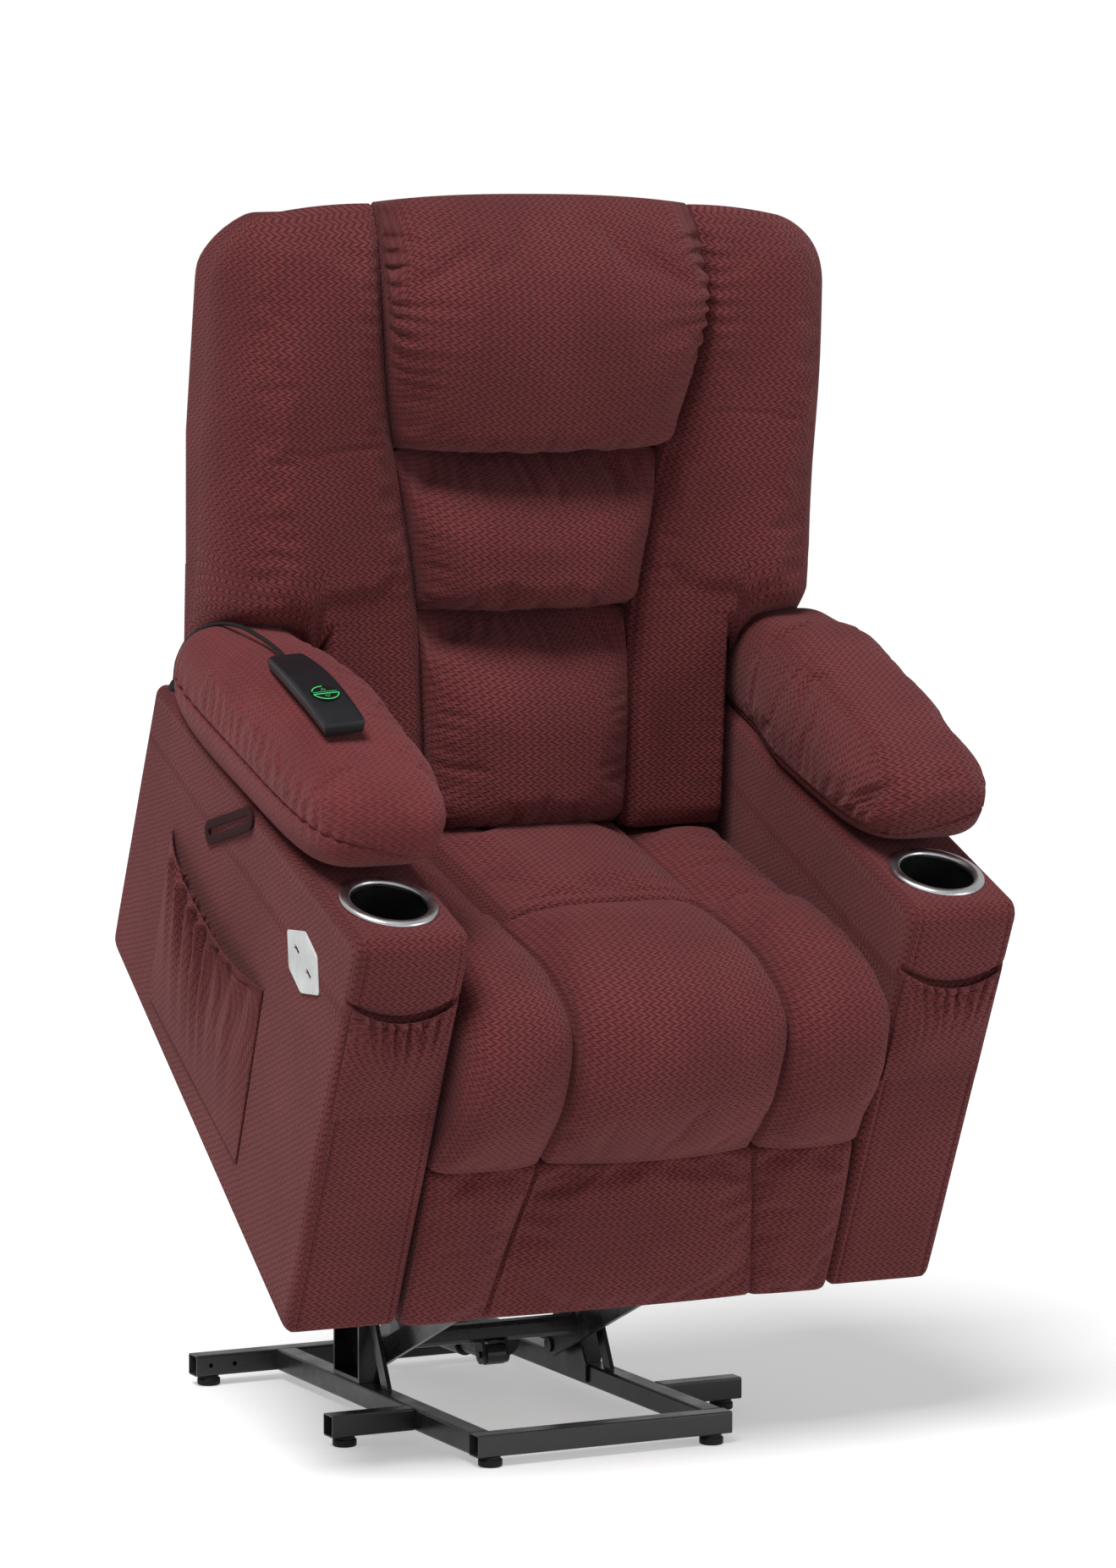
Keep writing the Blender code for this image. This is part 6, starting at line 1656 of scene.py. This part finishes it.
@dataclass
class Back:
    """The reclining back: its shell, two stuffed sides and three pillows."""

    crown: float = 0.048
    side_crown: float = 0.016
    corner: float = 0.085
    side_corner: float = 0.088
    side_top: float = 1.070
    low: float = 0.400
    edge_turn: float = 0.058
    top_turn: float = 0.036

    def shell(self, wardrobe: Wardrobe) -> None:
        """The upholstered rear, narrow between the arms and wide above them, with rolled edges."""

        def place(a: Array, b: Array, c: Array) -> tuple[Array, Array, Array]:
            half = stepped(b, ((0.537, 0.2455), (0.541, 0.362))) - corner_inset(b, BACK_TOP + 0.01, self.corner)
            roll = np.clip((c - 0.78) / 0.22, 0, 1)
            half = half - 0.018 * roll**2.2
            front = stepped(b, BACK_FRONT_LINE)
            ledge = (np.abs(a) > 0.69) & (b > 0.5371) & (b < 0.65)
            front = np.where(ledge, np.maximum(front, 0.5345), front)
            rear = stepped(b, BACK_REAR_LINE)
            dome = 0.006 * np.clip(1 - a**4, 0, 1) * roll
            fold = unevenness(a * half, b, 0.17, 121) * 0.0015 * roll * np.clip(1 - a**8, 0, 1)
            return a * half, front * (1 - c) + (rear - 0.004 + dome + fold) * c, b

        edge = np.array([0.004, 0.012, 0.024])
        a = merged(np.linspace(-1, 1, 61), [-0.70, -0.68, 0.68, 0.70], 1 - edge, edge - 1)
        near_top = BACK_TOP - np.array([0.0015, 0.004, 0.008])
        b = merged(np.linspace(0.29, BACK_TOP, 90), [0.537, 0.5371, 0.541, 0.65], near_top)
        cover = box_shell("back_cover", place, a, b, np.array([0.0, 0.4, 0.7, 0.78, 0.84, 0.9, 0.94, 0.97, 1.0]))
        cover.data.set_sharp_from_angle(angle=math.radians(60))
        wardrobe.dress(cover, CLOTH, "back", "back_frame")

    def side(self, wardrobe: Wardrobe, stuffing: Stuffing, tag: str, side: float) -> None:
        """A stuffed strip that spreads above the arms, drawn in at the column's seam.

        Its outer and upper edges turn back to the shell by quarter ellipses, and its wide part's
        underside follows the arm pad's top.
        """
        top = self.side_top
        pad = ArmPad()

        def place(a: Array, b: Array, c: Array) -> tuple[Array, Array, Array]:
            spread = stepped(b, ((self.low, 0.256), (0.6370, 0.256), (0.6405, 0.374), (top, 0.374)))
            outer = spread - corner_inset(b, top + 0.004, self.side_corner)
            inner = blended(b, SEAM_LINE) + 0.0015
            x = inner + (outer - inner) * a
            wide = np.clip((x - 0.2565) / 0.006, 0, 1)
            rear = hidden_plane(b)
            rear = np.where((wide > 0.5) & (b < 0.66), np.maximum(rear, 0.5335), rear)
            share = (x - inner) / (0.374 - inner)
            edge = blended(b, SEAM_DEPTH_LINE) * (1 - share) + blended(b, WING_EDGE_LINE) * share
            puff = np.sin(math.pi * np.clip(share, 0, 1) ** 1.5) ** 0.8 + 0.35 * np.exp(-(((share - 0.10) / 0.09) ** 2))
            puff = puff * np.minimum(1.0, (b - self.low) / 0.03 + 0.2)
            seam_off = a * (outer - inner)
            gather = 1.0 if side > 0 else 0.22
            gather = gather * blended(b, ((0.41, 0.04), (0.80, 0.06), (0.90, 0.8), (1.03, 1.0), (top, 0.9)))
            pucker = gathers(b, seam_off, 0.017, 0.034, 131 + int(side)) * 0.0060 * gather
            pucker += gathers(b, seam_off, 0.009, 0.016, 141 + int(side)) * 0.0030 * gather
            low = gathers(b, (outer - inner) * (1 - a), 0.020, 0.020, 151 + int(side)) * 0.0012
            low = low * np.clip((0.80 - b) / 0.1, 0, 1)
            lump = unevenness(x, b, 0.14, 161 + int(side)) * 0.0022 * np.clip(puff, 0, 1)
            tight = groove(seam_off, 0.010, 0.008)
            front = edge - self.side_crown * puff + tight - pucker - low - lump
            span = np.clip(outer - inner, 0.05, None)
            reach = 0.016 + (self.edge_turn - 0.016) * np.clip((b - 0.6370) / 0.0035, 0, 1)
            turn = np.clip(1 - (1 - a) * span / reach, 0, 1)
            head = np.clip((b - top + self.top_turn) / self.top_turn, 0, 1)
            foot = np.clip((0.664 - b) / 0.024, 0, 1) * wide
            kept = np.sqrt(1 - turn**2.2) * np.sqrt(1 - head**2.2) * np.sqrt(1 - 0.5 * foot**2)
            front = np.minimum(rear - 0.005 - (rear - 0.005 - front) * kept, rear - 0.004)
            y = front + (rear - front) * c
            under = np.minimum(pad.top_height(np.maximum(x, 0.264), y) + 0.0015, 0.6405)
            sink = wide * (0.6405 - np.maximum(under, 0.575)) * np.clip((0.70 - b) / 0.06, 0, 1)
            dome = 0.012 * a**2 * np.clip((b - 0.94) / (top - 0.94), 0, 1) ** 2
            return side * x, y, b - sink - dome

        def held(a: Array, b: Array, c: Array) -> Array:
            return ((c > 0.02) | (a < 0.03) | (a > 0.86) | (b < 0.665) | (b > top - 0.030)).astype(float)

        a = merged(np.linspace(0, 1, 52), [0.004, 0.012, 0.975, 0.990, 0.996])
        near_top = top - np.array([0.0006, 0.002, 0.004, 0.007])
        b = merged(np.linspace(self.low, top, 132), [0.6370, 0.6382, 0.6394, 0.6405, 0.644], near_top)
        c = np.array([0.0, 0.1, 0.25, 0.5, 0.75, 1.0])
        cover = smoothed(box_shell(f"back_side_cover_{tag}", place, a, b, c, held, b))
        stuffing.add(cover, 0.008)
        wardrobe.dress(cover, CLOTH, "back", f"back_wing_{tag}")

    def pillow(
        self,
        wardrobe: Wardrobe,
        stuffing: Stuffing,
        name: str,
        node: str,
        low: float,
        high: float,
        kind: PillowKind,
    ) -> None:
        """A stuffed pillow of the middle column, drawn in at its seams.

        Args:
            wardrobe: the finishes.
            stuffing: the filling.
            name: the piece's name.
            node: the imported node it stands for.
            low: the height of its lower seam.
            high: the height of its upper seam.
            kind: the head pillow is fullest low down and gathered at its sides.
        """
        head = kind is PillowKind.HEAD

        def place(a: Array, b: Array, c: Array) -> tuple[Array, Array, Array]:
            z = low + (high - low) * b
            half = blended(z, SEAM_LINE)
            if head:
                half = half - corner_inset(z, high + 0.003, 0.010)
                rise = np.clip(1 - (1 - np.clip(b * 8, 0, 1)) ** 2.4, 0, 1)
                rise = rise * np.sqrt(1 - np.clip((b - 0.55) / 0.45, 0, 1) ** 2.4)
            else:
                rise = (1 - (1 - np.clip(b * 4.5, 0, 1)) ** 2.2) * (1 - (1 - np.clip((1 - b) * 2.1, 0, 1)) ** 2.0)
            puff = np.clip(1 - np.abs(a) ** 2.2, 0, 1) ** 0.5 * rise
            rear = hidden_plane(z)
            middle = np.clip(1 - np.abs(a) ** 3, 0, 1)
            seam = blended(z, SEAM_DEPTH_LINE) + 0.022 * (1 - rise)
            seam = seam + (0.0 if head else 0.036) * middle * np.clip((b - 0.80) / 0.20, 0, 1) ** 1.3
            off = (1 - np.abs(a)) * half
            gather = blended(b, ((0.30, 0.0), (0.45, 0.5), (0.60, 1.0), (0.90, 1.0), (1.0, 0.5))) if head else 0.06
            pucker = gathers(z, off, 0.016, 0.036, 171 + int(low * 10)) * 0.0085 * gather
            pucker = pucker + gathers(z, off, 0.008, 0.016, 181 + int(low * 10)) * 0.0040 * gather
            pucker = pucker + gathers(a * half, b * (high - low), 0.018, 0.018, 191) * 0.0007
            pucker = pucker + gathers(a * half, (1 - b) * (high - low), 0.018, 0.018, 195) * 0.0007
            lump = unevenness(a * half, z, 0.13, 201 + int(low * 10)) * 0.0020 * rise
            front = seam - self.crown * puff - pucker - lump
            front = np.minimum(front, rear - 0.004)
            droop = 0.010 * puff * (1 - b) ** 2 * (1 - c) if head else 0.0
            bow = 0.010 * (1 - np.abs(a) ** 2.5) * np.clip((b - 0.7) / 0.3, 0, 1) ** 2 if head else 0.0
            return a * half, front + (rear - front) * c, z - droop + bow

        def held(a: Array, b: Array, c: Array) -> Array:
            return ((c > 0.06) | (np.abs(a) > 0.97) | (b < 0.03) | (b > 0.95)).astype(float)

        edge = np.array([0.0, 0.006, 0.018, 0.036, 0.06])
        a = merged(np.linspace(-0.9, 0.9, 61), 1 - edge, edge - 1)
        b = merged(np.linspace(0.08, 0.92, int((high - low) / 0.0042)), edge, 1 - edge)
        cover = smoothed(box_shell(name, place, a, b, np.array([0.0, 0.12, 0.3, 0.6, 1.0]), held))
        stuffing.add(cover, 0.010)
        wardrobe.dress(cover, CLOTH, "back", node)

    def build(self, wardrobe: Wardrobe, stuffing: Stuffing) -> None:
        """Shell, sides and pillows."""
        self.shell(wardrobe)
        for tag, side in SIDES.items():
            self.side(wardrobe, stuffing, tag, side)
        self.pillow(wardrobe, stuffing, "lower_lumbar_cover", "lumbar_lower", self.low, 0.632, PillowKind.LUMBAR)
        self.pillow(wardrobe, stuffing, "upper_lumbar_cover", "lumbar_upper", 0.6365, 0.8065, PillowKind.LUMBAR)
        self.pillow(wardrobe, stuffing, "head_cover", "head_pillow", 0.812, 1.072, PillowKind.HEAD)


# ---------------------------------------------------------------- legrest


@dataclass
class Legrest:
    """The folded legrest's pad: three shallow channels whose seams lean inwards as they rise."""

    top: float = 0.196
    rear: float = 0.0182

    def build(self, wardrobe: Wardrobe, stuffing: Stuffing) -> None:
        """A crowned slab with sewn grooves; its top and bottom edges roll back."""

        def place(a: Array, b: Array, c: Array) -> tuple[Array, Array, Array]:
            z = 0.001 + (self.top - 0.001) * b
            seam = 0.166 + (0.130 - 0.166) * b
            outside = np.sign(a) * (seam + (np.abs(a) - 1) * (SEAT_HALF + 0.0025 - seam))
            x = np.where(np.abs(a) <= 1, a * seam, outside)
            share = np.where(np.abs(a) <= 1, (a + 1) / 2, np.abs(a) - 1)
            tall = np.clip(4 * b * (1 - b), 0, 1) ** 0.3
            swell = np.clip(4 * share * (1 - share), 0, 1) ** 0.5 * tall
            outer = np.clip(1 - (1 - 2 * np.minimum(share, 0.5)) ** 2, 0, 1) ** 0.5 * tall * 0.9
            swell = np.where(np.abs(a) <= 1, swell, outer)
            edge = np.clip((np.abs(a) - 1.86) / 0.14, 0, 1)
            roll = np.clip((0.05 - np.minimum(b, 1 - b)) / 0.05, 0, 1)
            face = -0.005 - 0.006 * b + 0.010 * roll**2.2 + 0.008 * edge**2.2
            distance = np.abs(np.abs(x) - seam)
            pucker = gathers(z, distance, 0.018, 0.014, 211) * 0.0006
            lump = unevenness(x, z, 0.13, 215) * 0.0014
            front = face - 0.010 * swell + groove(distance, 0.0035, 0.003) - pucker - lump * (1 - roll)
            return x, self.rear + (front - self.rear) * (1 - c), z

        def held(a: Array, b: Array, c: Array) -> Array:
            sewn = (np.abs(np.abs(a) - 1) < 0.03) | (np.abs(a) > 1.96)
            return ((c > 0.05) | sewn | (b < 0.03) | (b > 0.97)).astype(float)

        line = np.linspace(0, 1, 26)
        close = np.array([0.965, 0.982, 1.0, 1.02, 1.04])
        half = np.concatenate([line * 0.95, close, 1.06 + np.linspace(0, 0.90, 18), [1.975, 1.99, 2.0]])
        a = merged(-half, half)
        b = merged(np.linspace(0, 1, 44), [0.006, 0.016, 0.984, 0.994])
        pad = smoothed(box_shell("legrest_cover", place, a, b, np.linspace(0, 1, 4), held))
        stuffing.add(pad, 0.006)
        wardrobe.dress(pad, CLOTH, "legrest", "legrest_pad")
        for tag in SIDES:
            wardrobe.repaint(STEEL, *(f"legrest_{link}_link_{tag}" for link in ("rear", "front", "control")))


# ---------------------------------------------------------------- steel


@dataclass
class SteelFrame:
    """The base, the lift's links, the actuator and the carriage's steel."""

    foot_radius: float = 0.0135
    foot_height: float = 0.012
    base_width: float = 0.3126

    def feet(self, wardrobe: Wardrobe) -> None:
        """Round rubber feet with a chamfered sole and a slim neck."""
        half = self.base_width / 2
        spots = {
            "front": (half - 0.020, 0.0125),
            "outrigger": (half + 0.100 - 0.020, 0.168 + 0.0125),
            "rear": (half + 0.102 - 0.020, 0.557 + 0.0125),
        }
        r, top = self.foot_radius, self.foot_height - 0.0003
        profile = [(0.0, 0.0), (r - 0.0022, 0.0), (r - 0.0010, 0.0004), (r, 0.0016)]
        profile += [(r, top - 0.0042), (r - 0.0004, top - 0.0036)]
        profile += [(r - 0.0018, top - 0.0030), (r - 0.0022, top), (0.0, top)]
        for place, (x, y) in spots.items():
            for tag, side in SIDES.items():
                foot = lathe(f"rubber_foot_{place}_{tag}", profile, (side * x, BASE_FRONT_Y + y, 0.0), (0, 0, 1), 64)
                foot.data.set_sharp_from_angle(angle=math.radians(50))
                wardrobe.dress(foot, RUBBER, "base", f"foot_{place}_{tag}")

    def build(self, wardrobe: Wardrobe) -> None:
        """Feet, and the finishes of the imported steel."""
        self.feet(wardrobe)
        names = ["base_front_tube", "base_rear_tube", "lower_cross_bar", "torque_tube"]
        names += ["carriage_front_bar", "carriage_rear_bar", "actuator_rod"]
        for part in ("base_rail", "base_outrigger", "upright", "lower_lift_arm", "upper_lift_arm", "carriage_rail"):
            names += [f"{part}_{tag}" for tag in SIDES]
        wardrobe.repaint(STEEL, *names)
        wardrobe.repaint(BLACK_PLASTIC, "actuator_housing")


def main() -> None:
    """Builds the studio, then each sub-assembly in turn."""
    logging.basicConfig(level=logging.INFO, format="%(message)s")
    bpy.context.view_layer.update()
    Studio().build()
    wardrobe = Wardrobe()
    HandsetCord().build(wardrobe)
    Handset().build(wardrobe)
    ArmBox().build(wardrobe)
    SidePocket().build(wardrobe)
    SocketPlate().build(wardrobe)
    PullLoop().build(wardrobe)
    stuffing = Stuffing()
    ArmPad().build(wardrobe, stuffing)
    Seat().build(wardrobe, stuffing)
    Back().build(wardrobe, stuffing)
    Legrest().build(wardrobe, stuffing)
    stuffing.fill()
    SteelFrame().build(wardrobe)


if __name__ == "__main__":
    main()
